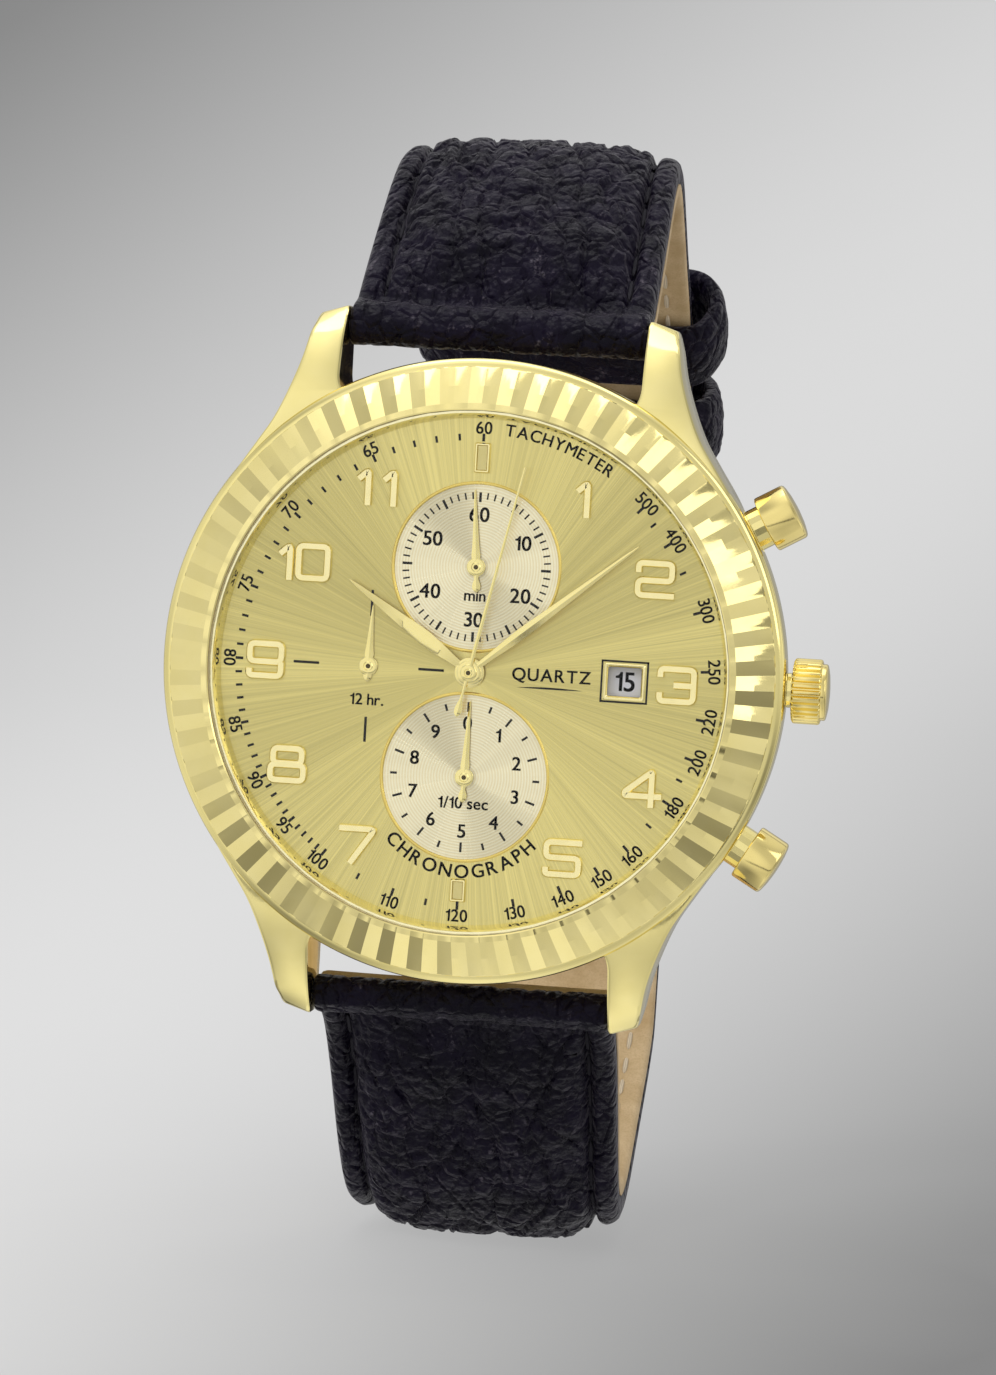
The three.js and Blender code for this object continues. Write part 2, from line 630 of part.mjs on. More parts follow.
const shortOuter = [
  ...spaced([
    point(-4.2, 22.3), point(-2, 24.3), point(4.5, 29.4), point(10, 33.5), point(13.5, 35.2), point(17, 35.8),
    point(20.5, 35.2), point(24.5, 33.4), ...arcPoints(WRIST_ARC.radius, 63, 60, 2),
  ], 22),
  ...arcPoints(WRIST_ARC.radius, 56, 0, 14),
  point(WRIST_ARC.y + WRIST_ARC.radius, 8.4),
];

const tailRadius = WRIST_ARC.radius + OVERLAP_GAP + TAIL_THICKNESS;
const tailBack = WRIST_ARC.y + tailRadius;
const longOuter = [
  ...spaced([
    point(-4.2, -22.3), point(-2, -23.6), point(1, -25.2), point(4.5, -28.6), point(10, -35.2), point(14, -38.6),
    point(19, -39.9), point(26, -38.7), point(34.5, -34.5), point(40, -30.7), point(44, -26.6),
    point(tailBack - 0.7, -21.6), point(tailBack, -15), point(tailBack, -13),
  ], 32),
  point(tailBack, -6),
  point(tailBack, 2),
  ...arcPoints(tailRadius, 0, TAIL_END_ANGLE, 14),
];

const mix = (a, b, t) => a + (b - a) * t;
const ease = (t) => Math.min(t / THINNING_END, 1);
const strapPlan = outline([
  [STRAP_HALF_WIDTH.lug, STRAP_PLAN.front], [STRAP_HALF_WIDTH.back, STRAP_PLAN.back],
  [-STRAP_HALF_WIDTH.back, STRAP_PLAN.back], [-STRAP_HALF_WIDTH.lug, STRAP_PLAN.front],
]);
const planBlock = new THREE.ExtrudeGeometry(strapPlan, { depth: 90, bevelEnabled: false }).translate(0, 0, -45);

// turn is 1 where depth into the strap lies to the right of the way the curve runs, else -1
function strapLayer(points, turn, upper, lower) {
  const shape = band(points, (s) => turn * upper(s), (s) => turn * lower(s));
  return common(sideways(shape, -11, 11), planBlock);
}
// The straps stop short of the case.
const caseSide = (sign) => box(24, 12, 6).translate(0, -4, sign * (STRAP_END - 3));
const across = (radius, half, [y, z], segments = 20) => rodX(radius, -half, half, segments).translate(0, y, z);

const swell = (s) => Math.min(s / PADDING_START, 1);
const shortDepth = (s) => mix(STRAP_AT_LUG, mix(STRAP_PADDED, STRAP_AT_BUCKLE, ease(s)), swell(s));
const longDepth = (s) => mix(STRAP_AT_LUG, mix(STRAP_PADDED, TAIL_THICKNESS, ease(s)), swell(s));
const leatherDepth = (depth) => (s) => depth(s) - LINING - GLUE_LINE;
const liningFrom = (depth) => (s) => depth(s) - LINING;
const zero = () => 0;

// The tongue's line in the side view, from the buckle bar through the tail to the frame's far side.
const tongueLine = spaced([
  point(43, 6.4), point(43.35, 5.2), point(43.9, 3.9), point(45.7, 1.9), point(47.5, -0.4), point(48.8, -2.6),
  point(49.7, -4.5), point(50.3, -6),
], 14);
const TONGUE = { half: 0.95, thickness: 0.9, eye: 1.3 };
const tongueBand = (extra) =>
  band(tongueLine, () => -(TONGUE.thickness / 2 + extra), () => TONGUE.thickness / 2 + extra);
const tailHole = sideways(tongueBand(0.5), -1.3, 1.3);

const [barY, barZ] = [BUCKLE_BAR.y, BUCKLE_BAR.z];
const tongueNotch = box(2.7, 5, 3.6).translate(0, barY, barZ);

const shortLeather = cut(
  join(
    strapLayer(shortOuter, 1, zero, leatherDepth(shortDepth)),
    across(1.35, STRAP_HALF_WIDTH.lug, barAt(1)),
    across(1.35, STRAP_HALF_WIDTH.buckle, [barY, barZ]),
    box(18, 1.2, 1.6).translate(0, WRIST_ARC.y + WRIST_ARC.radius - 0.62, 7.9),
  ),
  across(SPRING_BAR.radius + 0.08, 12, barAt(1)),
  across(BUCKLE_BAR.radius + 0.06, 12, [barY, barZ]),
  tongueNotch,
  caseSide(1),
);
add("strap_12_leather", shortLeather, FINISH.leather);

const liningOf = (points, turn, depth, barSign, extra = []) =>
  cut(
    strapLayer(points, turn, liningFrom(depth), depth),
    across(1.42, 12, barAt(barSign)),
    caseSide(barSign),
    ...extra,
  );
add(
  "strap_12_lining",
  liningOf(shortOuter, 1, shortDepth, 1, [across(1.42, 12, [barY, barZ]), tongueNotch]),
  FINISH.lining,
);

const longLeather = cut(
  join(
    strapLayer(longOuter, -1, zero, leatherDepth(longDepth)),
    across(1.35, STRAP_HALF_WIDTH.lug, barAt(-1)),
  ),
  across(SPRING_BAR.radius + 0.08, 12, barAt(-1)),
  caseSide(-1),
  tailHole,
);
add("strap_6_leather", longLeather, FINISH.leather);
add("strap_6_lining", liningOf(longOuter, -1, longDepth, -1, [tailHole]), FINISH.lining);

// ---------------------------------------------------------------- buckle

const buckleBar = add("buckle_bar", turnedX(barProfile(BUCKLE_BAR, 9.3, 10.6), 16), FINISH.steel);
buckleBar.position.set(0, barY, barZ);

const FRAME = { inner: 9.45, outer: 11.4, thickness: 1.8, side: 1.8 };
const frameOutline = outline([
  [FRAME.inner, 1.3], [FRAME.outer, 1.3], [FRAME.outer, 1 - BUCKLE_REACH],
  [FRAME.outer - 1.2, -BUCKLE_REACH - FRAME.side / 2], [1.2 - FRAME.outer, -BUCKLE_REACH - FRAME.side / 2],
  [-FRAME.outer, 1 - BUCKLE_REACH], [-FRAME.outer, 1.3], [-FRAME.inner, 1.3],
  [-FRAME.inner, FRAME.side / 2 - BUCKLE_REACH], [FRAME.inner, FRAME.side / 2 - BUCKLE_REACH],
]);
const pinHoles = rodX(BUCKLE_BAR.pin + 0.06, -10.7, 10.7, 12);
const frameBody = cut(plate(frameOutline, -FRAME.thickness / 2, FRAME.thickness / 2), pinHoles);
const buckleFrame = add("buckle_frame", frameBody, FINISH.gold);
buckleFrame.position.set(0, barY, barZ);
buckleFrame.rotation.x = BUCKLE_TILT;

const tongue = cut(
  join(
    sideways(tongueBand(0), -TONGUE.half, TONGUE.half),
    across(TONGUE.eye, TONGUE.half, [barY, barZ]),
  ),
  across(BUCKLE_BAR.radius + 0.06, 3, [barY, barZ]),
);
add("buckle_tongue", tongue, FINISH.gold);

// ---------------------------------------------------------------- keepers

function keeper() {
  const half = KEEPER.width / 2;
  const loop = (x, low, high, corner) =>
    outline([
      [-x + corner, low], [x - corner, low], [x, low + corner], [x, high - corner],
      [x - corner, high], [-x + corner, high], [-x, high - corner], [-x, low + corner],
    ]);
  const shape = loop(half + KEEPER.wall, KEEPER.inner - KEEPER.wall, KEEPER.outer + KEEPER.wall, 1);
  shape.holes.push(loop(half, KEEPER.inner, KEEPER.outer, 0.2));
  const geometry = new THREE.ExtrudeGeometry(shape, { depth: KEEPER.length, bevelEnabled: false });
  return geometry.translate(0, 0, -KEEPER.length / 2);
}

// A keeper is drawn with its radial direction along +Y, and turned about the wrist arc's centre.
for (const [name, angle] of [["fixed_keeper", FIXED_KEEPER_ANGLE], ["free_keeper", FREE_KEEPER_ANGLE]]) {
  const piece = add(name, keeper(), FINISH.leather);
  piece.position.set(0, WRIST_ARC.y, WRIST_ARC.z);
  piece.rotation.x = radians(angle);
}

export default watch;
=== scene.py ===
"""Chronograph wristwatch on a buckled leather strap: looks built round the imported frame.

Sizes are written in millimetres and turned into metres when a mesh is made. The dial looks along -Y,
+X points to 3 o'clock and +Z to 12 o'clock. Angles on the dial run clockwise from 12 o'clock.
"""

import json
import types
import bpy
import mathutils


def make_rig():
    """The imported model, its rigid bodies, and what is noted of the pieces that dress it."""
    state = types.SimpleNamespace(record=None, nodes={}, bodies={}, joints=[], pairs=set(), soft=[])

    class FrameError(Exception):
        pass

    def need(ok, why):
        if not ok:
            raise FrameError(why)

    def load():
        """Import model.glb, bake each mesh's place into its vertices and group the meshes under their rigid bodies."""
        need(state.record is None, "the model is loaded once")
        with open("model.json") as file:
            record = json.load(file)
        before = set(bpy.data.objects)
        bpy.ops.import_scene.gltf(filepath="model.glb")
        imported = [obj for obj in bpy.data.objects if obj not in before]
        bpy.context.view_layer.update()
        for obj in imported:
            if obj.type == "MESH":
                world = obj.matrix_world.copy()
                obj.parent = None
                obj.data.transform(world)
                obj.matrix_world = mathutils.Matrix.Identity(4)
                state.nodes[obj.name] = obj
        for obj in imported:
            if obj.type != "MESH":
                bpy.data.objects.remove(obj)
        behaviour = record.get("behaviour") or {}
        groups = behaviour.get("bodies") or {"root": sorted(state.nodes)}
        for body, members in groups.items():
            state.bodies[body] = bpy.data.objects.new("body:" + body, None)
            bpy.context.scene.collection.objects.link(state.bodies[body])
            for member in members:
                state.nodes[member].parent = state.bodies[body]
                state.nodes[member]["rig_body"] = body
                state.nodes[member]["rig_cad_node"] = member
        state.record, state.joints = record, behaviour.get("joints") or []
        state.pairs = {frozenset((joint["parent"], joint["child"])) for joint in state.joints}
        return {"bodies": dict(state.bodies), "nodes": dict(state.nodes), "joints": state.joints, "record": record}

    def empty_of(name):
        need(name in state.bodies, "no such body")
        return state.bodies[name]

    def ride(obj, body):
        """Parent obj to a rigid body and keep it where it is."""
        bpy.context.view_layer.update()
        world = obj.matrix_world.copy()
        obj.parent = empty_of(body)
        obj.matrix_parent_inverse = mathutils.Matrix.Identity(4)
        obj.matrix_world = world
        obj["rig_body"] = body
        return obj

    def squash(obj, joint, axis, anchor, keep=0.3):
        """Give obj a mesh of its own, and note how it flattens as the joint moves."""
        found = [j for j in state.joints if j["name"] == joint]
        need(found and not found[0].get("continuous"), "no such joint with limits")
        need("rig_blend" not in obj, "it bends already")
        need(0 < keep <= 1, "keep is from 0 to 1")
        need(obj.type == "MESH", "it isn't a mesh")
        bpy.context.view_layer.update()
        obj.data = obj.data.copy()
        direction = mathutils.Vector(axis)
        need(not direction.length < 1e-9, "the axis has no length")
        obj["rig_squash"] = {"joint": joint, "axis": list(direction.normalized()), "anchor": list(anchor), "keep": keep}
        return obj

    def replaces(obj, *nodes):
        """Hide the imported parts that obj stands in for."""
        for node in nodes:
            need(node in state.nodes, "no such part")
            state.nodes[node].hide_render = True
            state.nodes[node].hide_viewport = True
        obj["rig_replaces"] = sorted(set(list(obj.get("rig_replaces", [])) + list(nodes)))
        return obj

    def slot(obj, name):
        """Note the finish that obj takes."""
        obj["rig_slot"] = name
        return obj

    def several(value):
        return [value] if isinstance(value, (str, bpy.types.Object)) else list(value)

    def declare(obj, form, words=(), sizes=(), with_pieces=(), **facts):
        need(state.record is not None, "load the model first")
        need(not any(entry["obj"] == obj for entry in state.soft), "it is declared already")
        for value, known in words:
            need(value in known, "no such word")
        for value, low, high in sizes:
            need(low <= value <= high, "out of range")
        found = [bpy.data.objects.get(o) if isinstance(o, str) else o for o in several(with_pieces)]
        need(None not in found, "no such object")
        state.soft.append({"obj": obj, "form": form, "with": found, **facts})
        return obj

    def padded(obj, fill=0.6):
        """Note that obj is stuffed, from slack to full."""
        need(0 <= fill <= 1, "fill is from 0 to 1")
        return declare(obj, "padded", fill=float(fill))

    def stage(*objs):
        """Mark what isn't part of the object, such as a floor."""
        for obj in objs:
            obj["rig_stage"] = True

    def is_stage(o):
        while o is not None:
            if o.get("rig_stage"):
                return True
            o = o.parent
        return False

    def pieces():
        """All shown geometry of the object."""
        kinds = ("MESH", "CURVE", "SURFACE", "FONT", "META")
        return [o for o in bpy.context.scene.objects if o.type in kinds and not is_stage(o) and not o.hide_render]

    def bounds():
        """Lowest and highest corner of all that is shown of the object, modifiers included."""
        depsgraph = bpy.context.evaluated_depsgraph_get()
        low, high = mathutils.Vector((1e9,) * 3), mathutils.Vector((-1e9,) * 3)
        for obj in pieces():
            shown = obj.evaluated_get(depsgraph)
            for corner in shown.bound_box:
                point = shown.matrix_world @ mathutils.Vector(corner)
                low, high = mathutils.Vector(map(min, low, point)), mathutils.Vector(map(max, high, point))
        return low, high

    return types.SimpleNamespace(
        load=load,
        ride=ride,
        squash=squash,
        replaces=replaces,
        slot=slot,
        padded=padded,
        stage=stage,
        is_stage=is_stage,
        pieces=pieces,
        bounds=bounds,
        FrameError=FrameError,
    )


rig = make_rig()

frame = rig.load()
cad_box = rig.bounds()

import json
import math

import bmesh
import bpy
from mathutils import Matrix, Vector, noise

MM = 0.001
TAU = 2 * math.pi
rad = math.radians
noise.seed_set(7)  # the same leather grain on every run

# ---------------------------------------------------------------- dimensions shared with the CAD model

DIAL_Y = -8.0
BEZEL_BORE = 17.35
CONTROL_Y = -4.9
COUNTER_Z = 6.9
COUNTER_R = 5.5
HOUR_COUNTER_X = -6.75
DATE_X = 10.15
DATE_HALF = (1.1, 0.95)  # half the date opening's width and height
BAR = (-3.0, 22.2)  # spring bars' (y, z), the second one mirrored in z
BUCKLE_BAR = (42.95, 7.0)
ARC = (22.5, 9.5)  # centre of the strap's arc behind the wrist
HANDS = {"hour_hand": 304.18, "minute_hand": 50.2, "second_hand": 12.3}

# ---------------------------------------------------------------- mesh helpers


def clamp(x, low=0.0, high=1.0):
    return max(low, min(high, x))


def smooth(x, a, b):
    t = clamp((x - a) / (b - a))
    return t * t * (3 - 2 * t)


def lerp(a, b, t):
    return a + (b - a) * t


def hump(x, middle, width):
    return math.exp(-(((x - middle) / width) ** 2))


def mesh_from(name, shape):
    """A mesh from (vertices in mm, faces)."""
    verts, faces = shape
    mesh = bpy.data.meshes.new(name)
    mesh.from_pydata([(x * MM, y * MM, z * MM) for x, y, z in verts], [], faces)
    return mesh


def finish_mesh(mesh, sharp):
    mesh.validate()
    bm = bmesh.new()
    bm.from_mesh(mesh)
    bmesh.ops.recalc_face_normals(bm, faces=bm.faces)
    bm.to_mesh(mesh)
    bm.free()
    mesh.shade_smooth()
    if sharp is not None:
        mesh.set_sharp_from_angle(angle=rad(sharp))


def add_object(name, data):
    obj = bpy.data.objects.new(name, data)
    bpy.context.scene.collection.objects.link(obj)
    return obj


def make(name, shape, material, nodes=(), body="case", slot=None, sharp=35):
    """A piece that rides on a body and stands for the named CAD nodes. Its slot follows from its material."""
    mesh = mesh_from(name, shape)
    finish_mesh(mesh, sharp)
    mesh.materials.append(MAT[material])
    obj = add_object(name, mesh)
    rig.ride(obj, body)
    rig.slot(obj, slot or SLOT_OF[material])
    if nodes:
        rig.replaces(obj, *nodes)
    return obj


def boolean(obj, shape, operation="DIFFERENCE"):
    """Cuts a closed shape from obj, or joins it on."""
    tool_mesh = mesh_from("tool", shape)
    finish_mesh(tool_mesh, None)
    tool = add_object("tool", tool_mesh)
    modifier = obj.modifiers.new("cut", "BOOLEAN")
    modifier.operation, modifier.solver, modifier.object = operation, "MANIFOLD", tool
    bpy.context.view_layer.update()
    depsgraph = bpy.context.evaluated_depsgraph_get()
    mesh = bpy.data.meshes.new_from_object(obj.evaluated_get(depsgraph), depsgraph=depsgraph)
    mesh.name = obj.name
    obj.modifiers.clear()
    obj.data = mesh
    bpy.data.objects.remove(tool)


def merge(*shapes):
    verts, faces = [], []
    for v, f in shapes:
        base = len(verts)
        verts += list(v)
        faces += [[i + base for i in face] for face in f]
    return verts, faces


def moved(shape, place):
    """place maps (x, y, z) to a new point."""
    return [place(*v) for v in shape[0]], shape[1]


def shifted(shape, dx, dy, dz):
    return moved(shape, lambda x, y, z: (x + dx, y + dy, z + dz))


def clockwise(degrees, cx=0.0, cz=0.0):
    """Turns what is drawn towards 12 o'clock to another direction on the dial."""
    s, c = math.sin(rad(degrees)), math.cos(rad(degrees))
    return lambda x, y, z: (cx + x * c + z * s, y, cz - x * s + z * c)


def on_control(shape, angle=0):
    """A shape drawn along +X, set on the crown's axis or turned up or down to a pusher's."""
    return moved(shifted(shape, 0, CONTROL_Y, 0), clockwise(-angle))


def revolve(profile, segments=192, axis="Y", row=None):
    """A closed solid of revolution. profile is a list of (radius, height) that starts and ends on the axis
    or is a closed loop. row(j, points) may change the profile at segment j."""
    verts, rows = [], []
    for j in range(segments):
        a = TAU * j / segments
        points = row(j, profile) if row else profile
        line = []
        for i, (r, h) in enumerate(points):
            if r <= 0 and j > 0:
                line.append(rows[0][i])
                continue
            line.append(len(verts))
            s, c = r * math.sin(a), r * math.cos(a)
            verts.append((s, h, c) if axis == "Y" else (h, s, c))
        rows.append(line)
    faces = []
    n = len(profile)
    is_loop = profile[0][0] > 0
    for a, b in zip(rows, rows[1:] + rows[:1]):
        for i in range(n if is_loop else n - 1):
            k = (i + 1) % n
            face = list(dict.fromkeys([a[i], a[k], b[k], b[i]]))
            if len(face) > 2:
                faces.append(face)
    return verts, faces


def rod(radius, start, end, segments, axis="Y"):
    return revolve([(0, start), (radius, start), (radius, end), (0, end)], segments, axis)


def disc(radius, front, back, cx=0.0, cz=0.0, segments=128):
    return shifted(rod(radius, front, back, segments), cx, 0, cz)


def box(x0, z0, x1, z1):
    return [(x0, z0), (x1, z0), (x1, z1), (x0, z1)]


def rounded(points, radius, steps=4):
    """A polyline of (u, v) with its inner corners turned into arcs."""
    out = [points[0]]
    for a, b, c in zip(points, points[1:], points[2:]):
        p, q, r = Vector(a), Vector(b), Vector(c)
        before, after = p - q, r - q
        cutoff = min(radius, before.length * 0.49, after.length * 0.49)
        start, end = q + before.normalized() * cutoff, q + after.normalized() * cutoff
        for k in range(steps + 1):
            t = k / steps
            out.append(tuple((1 - t) ** 2 * start + 2 * t * (1 - t) * q + t * t * end))
    out.append(points[-1])
    return out


def rounded_loop(points, radius, steps=4):
    return rounded([points[-1], *points, points[0]], radius, steps)[1:-1]


def resample(points, count):
    """A polyline's points at even steps along its length."""
    length = [0.0]
    for a, b in zip(points, points[1:]):
        length.append(length[-1] + (Vector(b) - Vector(a)).length)
    out, k = [], 0
    for i in range(count + 1):
        target = length[-1] * i / count
        while k < len(points) - 2 and length[k + 1] < target:
            k += 1
        step = max(length[k + 1] - length[k], 1e-12)
        out.append(Vector(points[k]).lerp(Vector(points[k + 1]), clamp((target - length[k]) / step)))
    return out


def spline(points, count, fine=800):
    """A uniform Catmull-Rom spline through points, resampled at even steps along its length."""
    pts = [Vector(p) for p in points]

    def at(t):
        i = min(int(t), len(pts) - 2)
        f = t - i
        p0, p1, p2, p3 = pts[max(i - 1, 0)], pts[i], pts[i + 1], pts[min(i + 2, len(pts) - 1)]
        v0, v1 = (p2 - p0) * 0.5, (p3 - p1) * 0.5
        return (2 * p1 - 2 * p2 + v0 + v1) * f**3 + (-3 * p1 + 3 * p2 - 2 * v0 - v1) * f * f + v0 * f + p1

    return resample([at((len(pts) - 1) * k / fine) for k in range(fine + 1)], count)


def divided(points, step):
    """A polyline's points with more set between them, about a step apart, up to but without the last."""
    out = []
    for a, b in zip(points, points[1:]):
        start, end = Vector(a), Vector(b)
        count = max(1, int((end - start).length / step))
        out += [start.lerp(end, k / count) for k in range(count)]
    return out


def skin(rings, closed=False):
    """Faces joining rings of vertices, each ring a closed loop. Ends are capped unless the rings close up."""
    m, n = len(rings[0]), len(rings)
    faces = []
    for i in range(n if closed else n - 1):
        a, b = i * m, ((i + 1) % n) * m
        for j in range(m):
            k = (j + 1) % m
            faces.append([a + j, a + k, b + k, b + j])
    if not closed:
        faces.append(list(range(m)))
        faces.append([(n - 1) * m + j for j in reversed(range(m))])
    return [v for ring in rings for v in ring], faces


def extrude(outline, front, back):
    """An outline of (x, z) given depth from y = front to y = back."""
    return skin([[(x, front, z) for x, z in outline], [(x, back, z) for x, z in outline]])


def ribbon(points, section, closed=False):
    """Sweeps a section along a flat path of (u, v). section is a list of (offset to the left, height)."""
    count = len(points)
    rings = []
    for i in range(count):
        p = Vector(points[i])
        before = Vector(points[i - 1]) if closed or i else None
        after = Vector(points[(i + 1) % count]) if closed or i < count - 1 else None
        d0 = (p - before).normalized() if before is not None else (after - p).normalized()
        d1 = (after - p).normalized() if after is not None else d0
        mean = (d0 + d1).normalized()
        left = Vector((-mean.y, mean.x)) / max(0.35, mean.dot(d0))
        rings.append([(p.x + left.x * o, h, p.y + left.y * o) for o, h in section])
    return skin(rings, closed)


def sweep(path, section, up):
    """Sweeps section(i), a list of (side, up) offsets, along an open path in space."""
    rings = []
    for i, p in enumerate(path):
        along = (path[min(i + 1, len(path) - 1)] - path[max(i - 1, 0)]).normalized()
        side = along.cross(up).normalized()
        top = side.cross(along).normalized()
        rings.append([tuple(p + side * u + top * v) for u, v in section(i)])
    return skin(rings)


def superellipse(w, h, power=3.2, count=20):
    out = []
    for k in range(count):
        c, s = math.cos(TAU * k / count), math.sin(TAU * k / count)
        out.append((math.copysign(abs(c) ** (2 / power), c) * w, math.copysign(abs(s) ** (2 / power), s) * h))
    return out


# ---------------------------------------------------------------- materials


class Graph:
    """A node tree, with shorthand for the nodes that are used here."""

    def __init__(self, tree):
        self.tree = tree

    def feed(self, socket, value):
        """Links a socket to another node's output, or sets its value."""
        if hasattr(value, "links"):
            self.tree.links.new(value, socket)
        else:
            socket.default_value = value

    def node(self, kind, inputs=(), **settings):
        n = self.tree.nodes.new(kind)
        for key, value in settings.items():
            setattr(n, key, value)
        for key, value in dict(inputs).items():
            self.feed(n.inputs[key], value)
        return n

    def remap(self, value, low, high, to_low=0.0, to_high=1.0, kind="LINEAR"):
        inputs = {"Value": value, "From Min": low, "From Max": high, "To Min": to_low, "To Max": to_high}
        return self.node("ShaderNodeMapRange", inputs, interpolation_type=kind).outputs[0]

    def fade(self, *values):
        return self.remap(*values, kind="SMOOTHSTEP")

    def math(self, operation, a, b=0.0):
        return self.node("ShaderNodeMath", {0: a, 1: b}, operation=operation).outputs[0]

    def vector(self, operation, a, b=(0, 0, 0), output="Value"):
        return self.node("ShaderNodeVectorMath", {0: a, 1: b}, operation=operation).outputs[output]

    def combine(self, x=0.0, y=0.0, z=0.0):
        return self.node("ShaderNodeCombineXYZ", {"X": x, "Y": y, "Z": z}).outputs[0]

    def split(self, vector):
        return self.node("ShaderNodeSeparateXYZ", {"Vector": vector}).outputs

    def place(self, scale=(1, 1, 1)):
        """Object coordinates in millimetres, scaled."""
        coord = self.node("ShaderNodeTexCoord").outputs["Object"]
        inputs = {"Vector": coord, "Scale": tuple(s / MM for s in scale)}
        return self.node("ShaderNodeMapping", inputs).outputs[0]

    def noise(self, scale, detail=3.0, roughness=0.55, vector=None):
        inputs = {"Vector": vector or self.place(), "Scale": scale, "Detail": detail, "Roughness": roughness}
        return self.node("ShaderNodeTexNoise", inputs).outputs["Fac"]

    def cells(self, scale, feature="F1", vector=None):
        inputs = {"Vector": vector or self.place(), "Scale": scale}
        return self.node("ShaderNodeTexVoronoi", inputs, feature=feature).outputs["Distance"]

    def blend(self, factor, a, b):
        n = self.node("ShaderNodeMix", data_type="RGBA")
        a = (*a, 1) if isinstance(a, tuple) else a
        b = (*b, 1) if isinstance(b, tuple) else b
        for index, value in ((0, factor), (6, a), (7, b)):
            self.feed(n.inputs[index], value)
        return n.outputs[2]


class Surface(Graph):
    """A Principled material. Further sockets are named with _ for a space."""

    def __init__(self, name, color, roughness, metallic=0.0, **sockets):
        self.mat = bpy.data.materials.new(name)
        self.mat.use_nodes = True
        self.mat.diffuse_color = (*color, 1)
        super().__init__(self.mat.node_tree)
        self.shader = self.tree.nodes["Principled BSDF"]
        self.set("Base Color", (*color, 1))
        self.set("Roughness", roughness)
        self.set("Metallic", metallic)
        for key, value in sockets.items():
            self.set(key.replace("_", " "), value)

    def set(self, socket, value):
        self.feed(self.shader.inputs[socket], value)

    def finished(self, color, roughness, *bumps):
        """Takes a colour, a roughness and stacked bumps of (height, strength, distance in mm)."""
        self.set("Base Color", color)
        self.set("Roughness", roughness)
        under = {}
        for height, strength, distance in bumps:
            inputs = {"Height": height, "Strength": strength, "Distance": distance * MM, **under}
            under = {"Normal": self.node("ShaderNodeBump", inputs).outputs[0]}
        self.set("Normal", under["Normal"])
        return self.mat


def dim(color, *factors):
    """A colour times one factor, or times one for each channel."""
    factors = factors if len(factors) == 3 else factors * 3
    return tuple(c * k for c, k in zip(color, factors))


GOLD = (0.95, 0.825, 0.36)
DIAL_TONE = (0.81, 0.70, 0.262)
# painted shade: darker wedges on the dial and the counters (clock direction, half width, depth)
DIAL_PAINTED_SHADE = [(305, 30, 0.2), (52, 22, 0.18), (250, 14, 0.14), (97, 14, 0.14)]
COUNTER_PAINTED_SHADE = [(329, 26, 0.3), (149, 30, 0.22), (60, 12, 0.1)]
TURNING_PITCH = 0.19
CALF_TINT = (0.0062, 0.004, 0.0135)
CALF_SHINE = 0.23


def polished_gold(name, rough=0.09, streaks=(1, 1, 1), tint=GOLD):
    """Mirror gold plate with faint hairlines, cloudy thickness and a little handling haze."""
    g = Surface(name, tint, rough, metallic=1.0)
    cloud = g.noise(0.35, 3)
    hair = g.noise(9, 4, 0.7, vector=g.place(streaks))
    haze = g.noise(1.4, 4)
    level = g.remap(haze, 0.3, 0.75, rough * 0.75, rough * 1.5)
    level = g.math("ADD", level, g.remap(hair, 0.4, 0.8, 0, 0.03))
    color = g.blend(g.remap(cloud, 0.35, 0.7), tint, dim(tint, 0.98, 0.97, 0.9))
    return g.finished(color, level, (hair, 0.05, 0.01))


def polar(g):
    """Radius in mm and the direction as a unit vector, about the object's origin."""
    x, _, z = g.split(g.place())
    flat = g.combine(x, z)
    return g.vector("LENGTH", flat), g.vector("NORMALIZE", flat, output=0)


def brushed(name, color, rough=0.3, lengthwise=False, strength=0.06):
    """Fine circular or lengthwise brushing on metal."""
    g = Surface(name, color, rough, metallic=1.0)
    if lengthwise:
        lines = g.noise(1.0, 5, 0.75, vector=g.place((1.5, 18, 18)))
    else:
        radius, _ = polar(g)
        lines = g.noise(1.0, 4, 0.7, vector=g.combine(g.math("MULTIPLY", radius, 7)))
    tone = g.blend(g.remap(lines, 0.3, 0.7), dim(color, 0.88), color)
    level = g.remap(g.noise(0.3, 2), 0.3, 0.7, rough * 0.8, rough * 1.25)
    return g.finished(tone, level, (lines, strength, 0.02))


def moulded(name, color, rough=0.45, grain=6.0):
    g = Surface(name, color, rough)
    fine = g.noise(grain, 4)
    tone = g.blend(g.remap(g.noise(0.5, 2), 0.3, 0.7), dim(color, 0.9), color)
    return g.finished(tone, g.remap(fine, 0.3, 0.7, rough * 0.85, rough * 1.15), (fine, 0.1, 0.03))


def clear_crystal():
    g = Surface("crystal_glass", (1, 1, 1), 0.02, metallic=1.0, Alpha=0.01)
    g.set("Roughness", g.remap(g.noise(0.8, 3), 0.3, 0.7, 0.01, 0.035))
    return g.mat


def shades(g, unit, wedges):
    """Painted shade on a turned surface, in darker wedges standing in for its reflection: each at a clock direction,
    with a half width and a depth.
    """
    total = None
    for degrees, half, depth in wedges:
        direction = (math.sin(rad(degrees)), math.cos(rad(degrees)), 0)
        wedge = g.fade(g.vector("DOT_PRODUCT", unit, direction), math.cos(rad(half * 1.3)), 1.0, 0.0, depth)
        total = wedge if total is None else g.math("ADD", total, wedge)
    return g.math("SUBTRACT", 1.0, total)


def turned_metal(name, color, rough, metallic, rotation):
    """Lacquered metal whose highlights stretch about the object's own origin."""
    g = Surface(
        name, color, rough, metallic=metallic, Coat_Weight=0.15, Coat_Roughness=0.08,
        Anisotropic=0.85, Anisotropic_Rotation=rotation,
    )
    g.set("Tangent", g.node("ShaderNodeTangent", direction_type="RADIAL", axis="Y").outputs[0])
    return g


